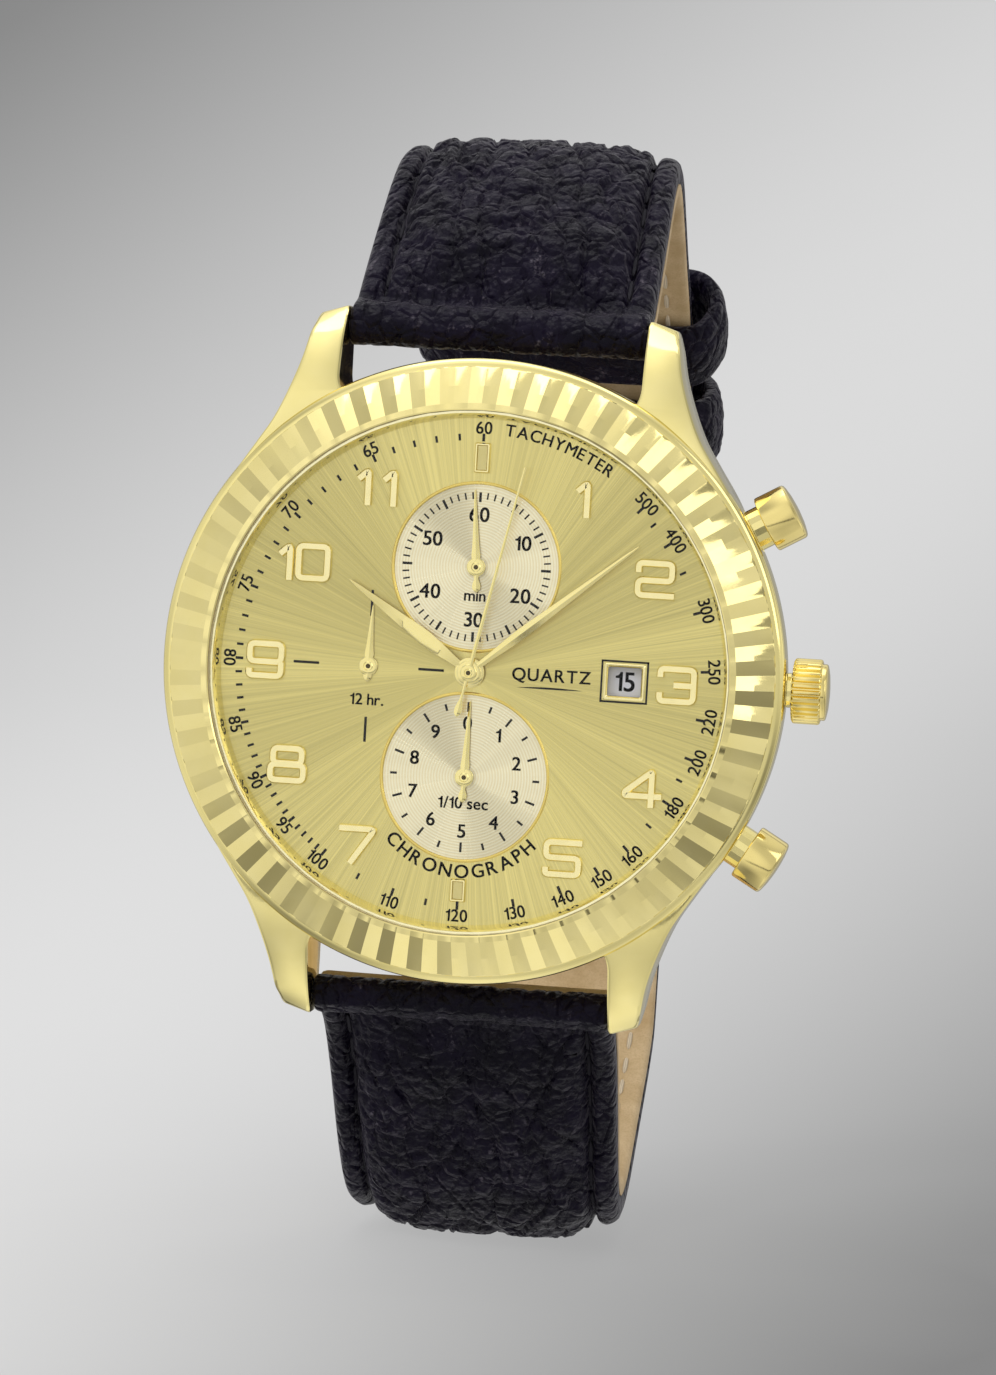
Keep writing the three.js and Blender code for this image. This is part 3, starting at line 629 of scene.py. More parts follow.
def sunburst():
    """Radially brushed champagne metal: fine rays of two sizes and a fine grit, with darker wedges of painted shade in
    place of the brushing's bow-tie reflection.
    """
    g = turned_metal("dial_sunburst", DIAL_TONE, 0.34, 1.0, 0.0)
    _, unit = polar(g)
    fine = g.noise(170, 4, 0.8, vector=unit)
    coarse = g.noise(46, 3, 0.7, vector=unit)
    rays = g.math("ADD", g.math("MULTIPLY", fine, 0.7), g.math("MULTIPLY", coarse, 0.3))
    dark, light = dim(DIAL_TONE, 0.8), tuple(min(c, 1) for c in dim(DIAL_TONE, 1.16))
    tone = g.blend(g.remap(rays, 0.36, 0.62), dark, light)
    tone = g.blend(g.remap(g.noise(5, 3, 0.6), 0.4, 0.8, 0, 0.12), tone, dark)
    color = g.blend(shades(g, unit, DIAL_PAINTED_SHADE), (0.12, 0.10, 0.02), tone)
    return g.finished(color, g.remap(rays, 0.35, 0.65, 0.4, 0.3), (rays, 0.25, 0.01))


def azurage():
    """Silver-cream metal turned in fine circles, with darker wedges of painted shade in place of its reflection."""
    g = turned_metal("azurage_silver", (0.92, 0.88, 0.72), 0.3, 0.9, 0.25)
    radius, unit = polar(g)
    lines = g.math("SINE", g.math("MULTIPLY", radius, TAU / TURNING_PITCH))
    turned = g.blend(g.remap(lines, -1, 1), (0.90, 0.79, 0.49), (1.0, 0.94, 0.67))
    color = g.blend(shades(g, unit, COUNTER_PAINTED_SHADE), (0.2, 0.16, 0.08), turned)
    return g.finished(color, g.remap(g.noise(24, 2, vector=unit), 0.3, 0.7, 0.26, 0.38), (lines, 0.35, 0.012))


def calf():
    """Grained black calf: pebbles in creases of several sizes, greyer tips that are partly wear and partly painted
    glints, a waxy broken gloss.
    """
    g = Surface(
        "black_calf", CALF_TINT, CALF_SHINE, Specular_IOR_Level=0.09, Sheen_Weight=0.12, Sheen_Roughness=0.3,
        Sheen_Tint=(0.95, 0.88, 1, 1),
    )
    broad, pores = g.noise(0.32, 3), g.noise(9, 3, 0.6)
    pebble, fine = g.cells(1.25, "SMOOTH_F1"), g.cells(2.7)
    crease = g.cells(0.62, "DISTANCE_TO_EDGE", vector=g.place((1.2, 0.8, 0.8)))
    relief = g.math("ADD", g.math("MULTIPLY", fine, -0.55), g.math("MULTIPLY", pebble, -0.9))
    tips = g.remap(g.math("ADD", relief, g.math("MULTIPLY", pores, 0.9)), -0.02, 0.28)
    wear_and_painted_glints = g.math("MULTIPLY", tips, g.remap(broad, 0.46, 0.64))
    base = g.blend(g.remap(broad, 0.35, 0.6), dim(CALF_TINT, 0.4, 0.4, 0.45), CALF_TINT)
    # the greyer colour on the tips is partly wear and partly painted glints of light
    color = g.blend(g.math("MULTIPLY", wear_and_painted_glints, 0.8), base, (0.12, 0.105, 0.13))
    waxy = g.math("ADD", pores, g.math("MULTIPLY", broad, 0.6))
    level = g.remap(waxy, 0.55, 1.0, CALF_SHINE - 0.06, CALF_SHINE + 0.24)
    creased = g.remap(crease, 0, 0.14)
    return g.finished(color, level, (creased, 1.0, 0.16), (relief, 1.0, 0.15), (pores, 0.5, 0.045))


def tan_lining():
    g = Surface("tan_lining_leather", (0.62, 0.45, 0.24), 0.62, Specular_IOR_Level=0.3)
    broad, fine, pores = g.noise(0.4, 4), g.noise(7, 4, 0.6), g.cells(5.5)
    tone = g.blend(g.remap(broad, 0.32, 0.7), (0.52, 0.365, 0.185), (0.70, 0.53, 0.31))
    color = g.blend(g.remap(fine, 0.45, 0.75, 0, 0.5), tone, (0.42, 0.28, 0.13))
    return g.finished(color, g.remap(fine, 0.3, 0.7, 0.52, 0.72), (pores, 0.2, 0.03), (fine, 0.3, 0.03))


def thread(name, color):
    g = Surface(name, color, 0.75, Specular_IOR_Level=0.15)
    twist = g.node("ShaderNodeTexWave", {"Vector": g.place(), "Scale": 2.2, "Distortion": 1.0}).outputs["Fac"]
    fuzz = g.noise(14, 3)
    tone = g.blend(g.remap(twist, 0.2, 0.8), dim(color, 0.72), color)
    return g.finished(tone, g.remap(fuzz, 0.3, 0.7, 0.65, 0.85), (twist, 0.5, 0.05), (fuzz, 0.3, 0.02))


def black_print():
    g = Surface("black_print", (0.006, 0.006, 0.005), 0.4, Specular_IOR_Level=0.2)
    speck = g.noise(12, 3)
    g.set("Base Color", g.blend(g.remap(speck, 0.3, 0.7), (0.004, 0.004, 0.003), (0.012, 0.011, 0.009)))
    g.set("Roughness", g.remap(speck, 0.3, 0.7, 0.28, 0.45))
    return g.mat


MAT = {
    "gold": polished_gold("gold_polish"),
    "gold_bezel": polished_gold("gold_bezel", 0.07, tint=(0.97, 0.84, 0.375)),
    "gold_case": polished_gold("gold_case", 0.1),
    "gold_flange": polished_gold("gold_flange", 0.12, tint=(1.0, 0.93, 0.58)),
    "gold_soft": polished_gold("gold_numeral", 0.16, tint=(0.98, 0.87, 0.45)),
    "gold_rim": polished_gold("gold_rim", 0.3, tint=(0.92, 0.72, 0.2)),
    "marker_field": brushed("marker_field", (0.80, 0.69, 0.29), 0.35, lengthwise=True),
    # a darker copy of the gold plate for the crown and pushers: painted shade
    "gold_crown": polished_gold("gold_crown", 0.1, (0.2, 3, 3), (0.9, 0.745, 0.3)),
    "dial": sunburst(),
    "counter": azurage(),
    "ink": black_print(),
    "crystal": clear_crystal(),
    "etched": moulded("etched_steel", (0.11, 0.11, 0.115), 0.5),
    "dark_pin": brushed("dark_pin", (0.10, 0.075, 0.03), 0.4, lengthwise=True),
    "steel": brushed("steel_brushed", (0.66, 0.665, 0.67), 0.26),
    "steel_bar": brushed("steel_drawn", (0.6, 0.61, 0.63), 0.28, lengthwise=True),
    "brass": brushed("movement_brass", (0.62, 0.46, 0.16), 0.34),
    "plastic": moulded("nylon_white", (0.82, 0.80, 0.74)),
    # the crystal gasket's brown is painted shade: the dark shadow ring between the bezel and the flange
    "gasket": moulded("gasket_smoke", (0.52, 0.42, 0.2), 0.3),
    "rubber": moulded("rubber_black", (0.02, 0.02, 0.02), 0.7),
    "board": moulded("board_green", (0.03, 0.14, 0.06), 0.35, 3),
    "copper": brushed("coil_wire", (0.72, 0.33, 0.14), 0.35, lengthwise=True, strength=0.4),
    "date": moulded("date_disc", (0.80, 0.80, 0.86), 0.5),
    "leather": calf(),
    "lining": tan_lining(),
    "thread": thread("thread_cream", (0.80, 0.68, 0.50)),
    "thread_black": thread("thread_black", (0.03, 0.028, 0.035)),
}
SLOTS = {
    "gold_plate": [
        "gold", "gold_bezel", "gold_case", "gold_flange", "gold_soft", "gold_rim", "gold_crown", "marker_field",
    ],
    "dial_champagne": ["dial", "counter", "ink"],
    "crystal": ["crystal"],
    "steel": ["steel", "steel_bar", "etched", "dark_pin"],
    "black_leather": ["leather", "thread_black"],
    "tan_lining": ["lining", "thread"],
}
SLOT_OF = {material: slot for slot, materials in SLOTS.items() for material in materials}

# ---------------------------------------------------------------- case


def lug():
    """One lug at the upper right: sections along z with softly bevelled long edges and a slanted tip."""
    root, last_full, tip = 8.6, 23.62, 23.7
    gap, ledge, ledge_z, ledge_r = 10.0, 0.9, 19.3, 1.7  # near the case the inner face steps in
    slant = 0.32  # the tip's end face slants back towards the outer side
    outer = [  # (x, z)
        (17.9, 8.6), (17.35, 10.4), (16.5, 12.2), (15.15, 14.3), (14.1, 16), (13.25, 18), (12.62, 20),
        (12.25, 22), (12.02, 23.7),
    ]
    front = [  # (z, y)
        (8, -7.7), (12, -7.66), (15.5, -7.5), (18, -7.08), (20, -6.42), (21.6, -5.6), (22.9, -4.6),
        (23.75, -3.7),
    ]
    back = [(8, -1.1), (15, -1.0), (19.5, -0.92), (22.2, -1.05), (23.3, -1.45), (23.75, -1.8)]
    outer, front, back = spline(outer, 44), spline(front, 60), spline(back, 60)

    def read(curve, key, value, z):
        for a, b in zip(curve, curve[1:]):
            if a[key] <= z <= b[key]:
                return lerp(a[value], b[value], (z - a[key]) / max(b[key] - a[key], 1e-9))
        return curve[-1][value] if z > curve[-1][key] else curve[0][value]

    rings = []
    for z in [root + (last_full - root) * k / 46 for k in range(47)] + [tip]:
        right, y0, y1 = read(outer, 1, 0, z), read(front, 0, 1, z), read(back, 0, 1, z)
        depth = clamp((ledge_z - z) / ledge_r)
        left = gap - ledge * (1 - math.sqrt(1 - depth**2))
        close = 0.12 * smooth(z, 23.55, tip)
        loop = rounded_loop(box(left + close, y0 + close, right - close, y1 - close), 0.3, 3)
        rings.append([(x, y, z - slant * max(0, x - gap) * smooth(z, 21.5, tip)) for x, y in loop])
    return skin(rings)


def mid_case():
    ring = [
        (17.02, -7.9), (19.9, -7.9), (20.2, -7.84), (20.42, -7.7), (20.54, -7.5), (20.6, -7.25), (20.6, -4.4),
        (20.55, -3.7), (20.42, -3.0), (20.25, -2.3), (19.95, -1.6), (19.6, -1.12), (19.35, -1.0),
        (17.62, -1.0), (17.62, -2.35), (17.02, -2.35),
    ]
    obj = make("mid_case_polished", revolve(ring, 288), "gold_case", ["mid_case"])
    for sx, sz in ((1, 1), (-1, 1), (1, -1), (-1, -1)):
        boolean(obj, moved(lug(), lambda x, y, z: (x * sx, y, z * sz)), "UNION")
    boolean(obj, revolve([(0, -9), (17.02, -9), (17.02, -2.3), (17.62, -2.3), (17.62, -0.2), (0, -0.2)]))
    for angle, r in ((0, 1.02), (30, 1.5), (-30, 1.5)):
        sunk = [(0, 15), (r, 15), (r, 20.45), (r + 0.28, 20.75), (r + 0.28, 22), (0, 22)]
        boolean(obj, on_control(revolve(sunk, 64, "X"), angle))
    for sx in (1, -1):
        for sz in (1, -1):
            pin = rod(0.46, 9, 11, 24, "X")
            boolean(obj, moved(pin, lambda x, y, z: (sx * x, y + BAR[0], z + sz * BAR[1])))
    finish_mesh(obj.data, 28)


def bezel():
    """Sixty V flutes of two flat facets, running out at a polished inner lip and notching the outer edge."""
    flutes, per = 60, 8
    depth = [0, 0, 0, 0, 0, 0.13, 0.215, 0.235, 0.21, 0.06, 0, 0, 0]
    profile = [
        (BEZEL_BORE, -7.95), (BEZEL_BORE, -9.9), (17.12, -9.9), (17.13, -9.97), (17.22, -10.02),
        (17.58, -9.99), (18.72, -9.27), (19.88, -8.36), (19.97, -8.27), (20.0, -8.14), (20.0, -8.0),
        (19.95, -7.95), (19.6, -7.95),
    ]

    def row(j, points):
        t = abs((j % per) / per * 2 - 1)  # 1 on a ridge, 0 in a valley
        return [(r, y + d * (1 - t)) for (r, y), d in zip(points, depth)]

    make("bezel_fluted", revolve(profile, flutes * per, row=row), "gold_bezel", ["bezel"], sharp=5)


def crystal():
    profile = [(0, -9.35), (17.05, -9.35), (17.06, -9.42), (17.06, -9.96), (17.0, -10.05), (16.85, -10.1)]
    profile += [(16.4 * math.cos(rad(a)), -10.14 - 0.21 * math.sin(rad(a))) for a in range(0, 90, 6)]
    profile.append((0, -10.35))
    make("crystal_dome", revolve(profile), "crystal", ["crystal"], sharp=40)


def flange():
    profile = [
        (16.62, -8.02), (16.65, -8.3), (16.72, -8.75), (16.82, -9.1), (16.95, -9.3), (17.28, -9.32),
        (17.28, -8.02),
    ]
    make("flange_polished", revolve(profile, 256), "gold_flange", ["flange_ring"], sharp=30)


def case_back():
    profile = [
        (0, 0), (13.2, 0), (13.32, -0.06), (13.44, 0), (17.6, 0), (17.75, -0.02), (18.2, -0.09),
        (18.62, -0.33), (18.7, -0.42), (18.7, -0.94), (17.5, -0.94), (17.5, -2.05), (16.6, -2.05),
        (16.6, -1.2), (0, -1.2),
    ]
    obj = make("case_back_brushed", revolve(profile, 240), "steel", ["case_back"], sharp=25)
    notch = box(-1.5, 18.15, 1.5, 19)  # where a case knife lifts the back
    boolean(obj, moved(extrude(notch, -0.86, -0.5), clockwise(218)))
    finish_mesh(obj.data, 25)


mid_case()
bezel()
crystal()
flange()
case_back()

# ---------------------------------------------------------------- dial


def dial():
    plate = disc(16.85, DIAL_Y, DIAL_Y + 0.4, segments=256)
    obj = make("dial_plate", plate, "dial", ["dial"])
    for z in (COUNTER_Z, -COUNTER_Z):
        boolean(obj, disc(COUNTER_R, DIAL_Y - 1, DIAL_Y + 0.1, 0, z))
    for x, z, r in ((0, COUNTER_Z, 0.32), (0, -COUNTER_Z, 0.32), (HOUR_COUNTER_X, 0, 0.32), (0, 0, 0.82)):
        boolean(obj, disc(r, -9, -7, x, z, 48))
    w, h = DATE_HALF
    boolean(obj, extrude(rounded_loop(box(DATE_X - w, -h, DATE_X + w, h), 0.12, 3), -9, -7))
    finish_mesh(obj.data, 30)


def counter_disc(name, cz):
    """The recessed counter's floor, turned in fine steps, with a hole for the arbor, and its bright rim."""
    hole, step = 0.33, 0.1
    turned = []
    r = hole
    while r < COUNTER_R - 0.06:
        turned.append((r, DIAL_Y + 0.072 + (0.014 if len(turned) % 2 else 0.0)))
        r += step
    edge = COUNTER_R - 0.02
    profile = [(hole, DIAL_Y + 0.1), *turned, (edge, DIAL_Y + 0.08), (edge, DIAL_Y + 0.1)]
    obj = make(name, revolve(profile, 144), "counter", sharp=60)
    obj.location = (0, 0, cz * MM)
    rim = [(-0.09, 0.06), (-0.08, -0.02), (-0.04, -0.06), (0.02, -0.07), (0.08, -0.04), (0.11, -0.001)]
    rim = revolve([(COUNTER_R + r, DIAL_Y + y) for r, y in rim], 160)
    make(name + "_rim", shifted(rim, 0, 0, cz), "gold_rim", sharp=60)


dial()
counter_disc("counter_12_floor", COUNTER_Z)
counter_disc("counter_6_floor", -COUNTER_Z)

# ---------------------------------------------------------------- printing

CAPITAL = 0.682  # a capital's height in the font's own units
SPACE = 0.34
BOLD = ((-0.024, -0.014), (0.024, 0.014), (0.024, -0.014), (-0.024, 0.014))  # a letter's four copies
FIGURE_ONE = [
    (0.26, 0), (0.40, 0), (0.40, 1), (0.31, 1), (0.27, 0.89), (0.18, 0.81), (0.05, 0.78), (0.05, 0.69),
    (0.26, 0.69),
]
glyphs = {}


def drawn_one():
    verts = [(x, y, w) for w in (-0.5, 0.5) for x, y in FIGURE_ONE]
    n = len(FIGURE_ONE)
    faces = [list(range(n)), list(range(2 * n - 1, n - 1, -1))]
    return verts, faces + [[k, (k + 1) % n, n + (k + 1) % n, n + k] for k in range(n)]


def font_letter(letter):
    curve = bpy.data.curves.new("glyph", "FONT")
    curve.body, curve.size, curve.extrude, curve.resolution_u = letter, 1 / CAPITAL, 0.5, 6
    obj = add_object("glyph", curve)
    bpy.context.view_layer.update()
    mesh = obj.to_mesh()
    shape = [tuple(v.co) for v in mesh.vertices], [list(p.vertices) for p in mesh.polygons]
    obj.to_mesh_clear()
    bpy.data.objects.remove(obj)
    return shape


def glyph(letter):
    """A letter as a closed flat solid with a unit-high capital, from x = 0 rightwards, on its base line."""
    if letter not in glyphs:
        verts, faces = drawn_one() if letter == "1" else font_letter(letter)
        low, high = min(v[0] for v in verts), max(v[0] for v in verts)
        glyphs[letter] = ([(x - low, y, z) for x, y, z in verts], faces, high - low)
    return glyphs[letter]


def typeset(text, gap):
    """A word laid out letter by letter, centred across."""
    shapes, at = [], 0.0
    for letter in text:
        if letter == " ":
            at += SPACE
            continue
        verts, faces, width = glyph(letter)
        for dx, dy in BOLD:
            shapes.append(([(x + at + dx, y + dy, z) for x, y, z in verts], faces))
        at += width + gap
    verts, faces = merge(*shapes)
    return [(x - (at - gap) / 2, y, z) for x, y, z in verts], faces


class Print:
    """Flat ink on a surface at y = level, gathered into one mesh."""

    def __init__(self, level, height=0.012):
        self.level, self.height, self.shapes = level, height, []

    def word(self, text, size, x, z, turn=0.0, wide=1.0, low=0.5, gap=0.13):
        """A word one size high. (x, z) is its middle, or its base line's middle with low = 0."""
        verts, faces = typeset(text, gap)
        place = clockwise(turn, x, z)
        points = []
        for u, v, w in verts:
            points.append(place(u * size * wide, self.level - (0.5 - w) * self.height, (v - low) * size))
        self.shapes.append((points, faces))

    def arc(self, text, size, radius, middle, gap=0.25, flip=False, cz=0.0, wide=1.0):
        """Letters along an arc about (0, cz). Tops point out, or to the centre if flip."""
        widths = [(glyph(c)[2] if c != " " else 0.3) * size * wide for c in text]
        at = -(sum(widths) + gap * (len(text) - 1)) / 2
        for c, w in zip(text, widths):
            angle = math.degrees((at + w / 2) / radius)
            direction = middle - angle if flip else middle + angle
            x, z = radius * math.sin(rad(direction)), cz + radius * math.cos(rad(direction))
            if c != " ":
                self.word(c, size, x, z, direction + (180 if flip else 0), wide)
            at += w + gap

    def outline(self, points, place=clockwise(0)):
        self.shapes.append(moved(extrude(points, self.level - self.height, self.level), place))

    def tick(self, angle, inner, outer, width, cx=0.0, cz=0.0):
        self.outline(box(-width / 2, inner, width / 2, outer), clockwise(angle, cx, cz))

    def make(self, name, **settings):
        make(name, merge(*self.shapes), **{"material": "ink", "sharp": 30, **settings})


def print_dial():
    """The tachymeter scale and its words, the hour counter, the date's surround and a plain word."""
    printed = Print(DIAL_Y)
    scale_r = 16.02
    values = [*range(60, 101, 5), *range(110, 161, 10), 180, 200, 220, 250, 300, 400, 500]
    between = [u for u in range(61, 100) if u % 5] + [105, 115, 170, 190, 350, 450]

    def angle_of(value):
        return 21600 / value % 360

    for value in values:
        angle = angle_of(value)
        printed.arc(str(value), 0.78, scale_r, angle, gap=0.1, flip=98 < angle <= 271, wide=0.95)
        printed.tick(angle, 15.12, 15.64, 0.18)
    for value in between:
        printed.tick(angle_of(value), 15.18, 15.62, 0.16)
    printed.arc("TACHYMETER", 0.76, scale_r, 18.7, gap=0.17, wide=0.98)
    printed.arc("CHRONOGRAPH", 0.86, 6.2, 180, gap=0.24, flip=True, cz=-COUNTER_Z, wide=0.98)
    for angle, inner in ((0, 3.3), (90, 3.3), (180, 3.35), (270, 3.3)):
        printed.tick(angle, inner, 5.0, 0.17, HOUR_COUNTER_X)
    printed.word("12 hr.", 0.72, HOUR_COUNTER_X, -2.2)
    w, h, line = 1.5, 1.33, 0.13
    corners = box(DATE_X - w, -h, DATE_X + w, h)
    for (x0, z0), (x1, z1) in zip(corners, corners[1:] + corners[:1]):
        lo_x, hi_x, lo_z, hi_z = min(x0, x1), max(x0, x1), min(z0, z1), max(z0, z1)
        printed.outline(box(lo_x - line / 2, lo_z - line / 2, hi_x + line / 2, hi_z + line / 2))
    word_x = 5.35
    printed.word("QUARTZ", 0.8, word_x, 0.1, gap=0.2)
    leaf_x, leaf_half, leaf_z = 5.3, 2.2, -0.78
    leaf = [(leaf_x + leaf_half * t, leaf_z + 0.1 * (1 - t * t)) for t in [k / 8 - 1 for k in range(17)]]
    leaf += [(leaf_x + leaf_half * t, leaf_z - 0.03 * (1 - t * t)) for t in [1 - k / 8 for k in range(1, 16)]]
    printed.outline(leaf)
    printed.make("dial_print")


def print_counter(name, cz, ticks, every, long_tick, short_tick, numbers, radius, size, label):
    """One counter's ticks, each (inner radius, outer radius, width), its numbers and its unit."""
    printed = Print(DIAL_Y + 0.07)
    for k in range(ticks):
        printed.tick(360 / ticks * k, *(short_tick if k % every else long_tick), 0, cz)
    for k, number in enumerate(numbers):
        a = rad(360 / len(numbers) * k)
        printed.word(str(number), size, radius * math.sin(a), cz + radius * math.cos(a))
    text, height, down, low = label
    printed.word(text, height, 0, cz - down, low=low)
    printed.make(name)


def print_dates():
    wheel = Print(-7.45, 0.01)
    for day in range(1, 32):
        a = (day - 15) * 360 / 31
        x, _, z = clockwise(a)(DATE_X, 0, 0)
        wheel.word(str(day), 1.22, x, z, a, wide=0.95)
    wheel.make("date_numbers", body="date_wheel", slot="date_white")


def engrave_back():
    """Plain etched lettering round the case back, and a fine ring each side of it."""
    etched = Print(-0.004)
    etched.arc("STAINLESS STEEL BACK", 1.15, 11.1, 0, gap=0.32)
    etched.arc("WATER RESISTANT", 1.15, 11.1, 180, gap=0.32, flip=True)
    for r in (9.9, 12.3):
        etched.shapes.append(revolve([(r, -0.012), (r + 0.07, -0.012), (r + 0.07, -0.004), (r, -0.004)], 160))
    etched.shapes = [moved(shape, lambda x, y, z: (-x, -y, z)) for shape in etched.shapes]
    etched.make("case_back_etching", material="etched")


print_dial()
print_counter(
    "counter_12_print", COUNTER_Z, 60, 5, (4.26, 4.9, 0.17), (4.46, 4.9, 0.105),
    [60, 10, 20, 30, 40, 50], 3.45, 0.92, ("min", 0.72, 1.95, 0.38),
)
print_counter(
    "counter_6_print", -COUNTER_Z, 20, 2, (4.3, 4.94, 0.15), (4.5, 4.94, 0.15),
    range(10), 3.55, 0.86, ("1/10 sec", 0.74, 1.7, 0.5),
)
print_dates()
engrave_back()

# ---------------------------------------------------------------- applied numerals and markers

# Strokes about a numeral's centre. A stroke marked closed runs back to its start.
STROKES = {
    0: [(box(-0.96, 1.05, 0.96, -1.05), True)],
    1: [([(-0.4, 0.45), (0.25, 1.05), (0.25, -1.25)], False)],
    2: [([(-1.1, 0.42), (-1.1, 1.05), (1.1, 1.05), (1.1, -0.08), (-1.1, -0.08), (-1.1, -1.05), (1.3, -1.05)],
         False)],
    3: [([(-1.1, 0.5), (-1.1, 1.05), (1.1, 1.05), (1.1, -1.05), (-1.1, -1.05), (-1.1, -0.5)], False),
        ([(-0.2, 0), (1.05, 0)], False)],
    4: [([(1.25, -0.55), (-1.15, -0.55), (-1.15, -0.3), (0.57, 1.08), (0.57, 0.6)], False),
        ([(0.57, 0.95), (0.57, -1.28)], False)],
    5: [([(1.25, 1.05), (-1.1, 1.05), (-1.1, 0.05), (1.05, 0.05), (1.05, -1.05), (-1.1, -1.05), (-1.1, -0.6)],
         False)],
    7: [([(-1.25, 1.05), (1.1, 1.05), (-0.45, -1.25)], False)],
    8: [(box(-0.95, 1.05, 0.95, 0.06), True), (box(-1.1, -0.02, 1.1, -1.05), True)],
    9: [(box(-1.05, 1.05, 1.05, -0.12), True),
        ([(1.05, -0.12), (1.05, -1.05), (-1.05, -1.05), (-1.05, -0.6)], False)],
}
STROKE_SECTION = [(-0.26, -8.0), (-0.25, -8.22), (-0.18, -8.3), (0.18, -8.3), (0.25, -8.22), (0.26, -8.0)]
STROKE_BEND = 0.34
STEP_UP = 0.012  # a second stroke stands this much higher, so that crossing strokes never share a face


def digit(value, aside=0.0):
    shapes = []
    for count, (line, closed) in enumerate(STROKES[value]):
        points = [(p + aside, q) for p, q in line]
        path = rounded_loop(points, STROKE_BEND) if closed else rounded(points, STROKE_BEND)
        section = [(across, y - STEP_UP * count) for across, y in STROKE_SECTION]
        shapes.append(ribbon(path, section, closed))
    return shapes


def numerals():
    two_digits = {10: [(1, -1.2), (0, 0.6)], 11: [(1, -0.85), (1, 0.85)]}
    for hour in (1, 2, 3, 4, 5, 7, 8, 9, 10, 11):
        r, a = (13.15 if hour == 10 else 13.6), rad(30 * hour)
        parts = []
        for value, aside in two_digits.get(hour, [(hour, 0.0)]):
            parts += digit(value, aside)
        shape = shifted(merge(*parts), r * math.sin(a), 0, r * math.cos(a))
        make(f"hour_numeral_{hour}", shape, "gold_soft", [f"numeral_{hour}"], sharp=40)


def marker(name, z, height):
    """A framed baton: a bevelled rim round a sunk field."""
    w, h = 0.525, height / 2
    rings = []
    for inset, y in ((0, -8.0), (0.02, -8.2), (0.08, -8.3), (0.16, -8.3), (0.22, -8.13)):
        corners = box(-w + inset, -h + inset, w - inset, h - inset)
        loop = rounded_loop(corners, max(0.12 - inset * 0.5, 0.03), 3)
        rings.append([(x, y, v + z) for x, v in loop])
    make(name + "_applied", skin(rings), "gold_soft", [name], sharp=30)
    fw, fh = w - 0.23, h - 0.23
    make(name + "_field", extrude(box(-fw, z - fh, fw, z + fh), -8.175, -8.12), "marker_field")


def date_frame():
    outer = (1.36, 1.19)
    rings = []
    for t, y in ((0, -8.0), (0.05, -8.09), (0.3, -8.14), (0.6, -8.13), (1, -8.02), (1, -7.98)):
        w, h = lerp(outer[0], DATE_HALF[0], t), lerp(outer[1], DATE_HALF[1], t)
        rings.append([(x + DATE_X, y, v) for x, v in rounded_loop(box(-w, -h, w, h), 0.1, 3)])
    make("date_window_frame", skin(rings, closed=True), "gold_soft", ["date_frame"], sharp=30)


numerals()
marker("marker_12", 14.05, 2.0)
marker("marker_6", -14.35, 1.55)
date_frame()

# ---------------------------------------------------------------- hands

# (distance from the arbor, half width) along each blade, then front, back, ridge and the hub's radius
BLADES = {
    "hour_hand": (
        [(0.3, 0.24), (0.9, 0.24), (1.6, 0.3), (2.6, 0.42), (3.6, 0.49), (4.4, 0.47), (5.6, 0.38), (9.2, 0.13),
         (10, 0.03)],
        -8.46, -8.4, 0.08, 0.98,
    ),
    "minute_hand": (
        [(0.3, 0.2), (0.9, 0.2), (2.0, 0.24), (3.2, 0.32), (4.2, 0.36), (5.2, 0.34), (7, 0.28), (12.8, 0.1),
         (13.85, 0.03)],
        -8.73, -8.68, 0.07, 0.8,
    ),
    "second_hand": (
        [(-2.98, 0.03), (-2.9, 0.13), (-2.7, 0.24), (-2.4, 0.26), (-2.1, 0.19), (-1.8, 0.1), (-1.3, 0.075),
         (0, 0.13), (13.9, 0.06)],
        -9.0, -8.96, 0.05, 0.55,
    ),
}
# each small hand's (x, z), where it points, its length and its tail's
SMALL_HANDS = {
    "minute_counter": (0, COUNTER_Z, -3.9, 5.05, 1.65),
    "tenth_counter": (0, -COUNTER_Z, 1.5, 5.03, 1.65),
    "hour_counter": (HOUR_COUNTER_X, 0, 1.5, 4.0, 1.0),
}
LEAF = [(0, 0.03), (0.12, 0.2), (0.32, 0.28), (0.55, 0.26), (0.85, 0.14)]  # a small hand's tail, from its end


def blade(widths, front, back, ridge, step):
    """A tapering blade whose two polished slopes meet in a ridge along its middle."""
    stations = []
    for (z0, h0), (z1, h1) in zip(widths, widths[1:]):
        n = max(1, int(abs(z1 - z0) / step))
        stations += [(lerp(z0, z1, k / n), lerp(h0, h1, k / n)) for k in range(n)]
    rings = []
    for z, half in stations + widths[-1:]:
        top = front - min(ridge, half * 0.3)
        rings.append([(-half, back, z), (-half, front, z), (0, top, z), (half, front, z), (half, back, z)])
    return skin(rings)


def hub(radius, front, back, crown):
    steps = [(0, 1), (0.42, 1), (0.5, 0.55), (0.8, 0.5), (0.97, 0.15), (1, 0)]
    profile = [(radius * r, front - crown * h) for r, h in steps]
    return revolve([*profile, (radius, back), (0, back)], 64)


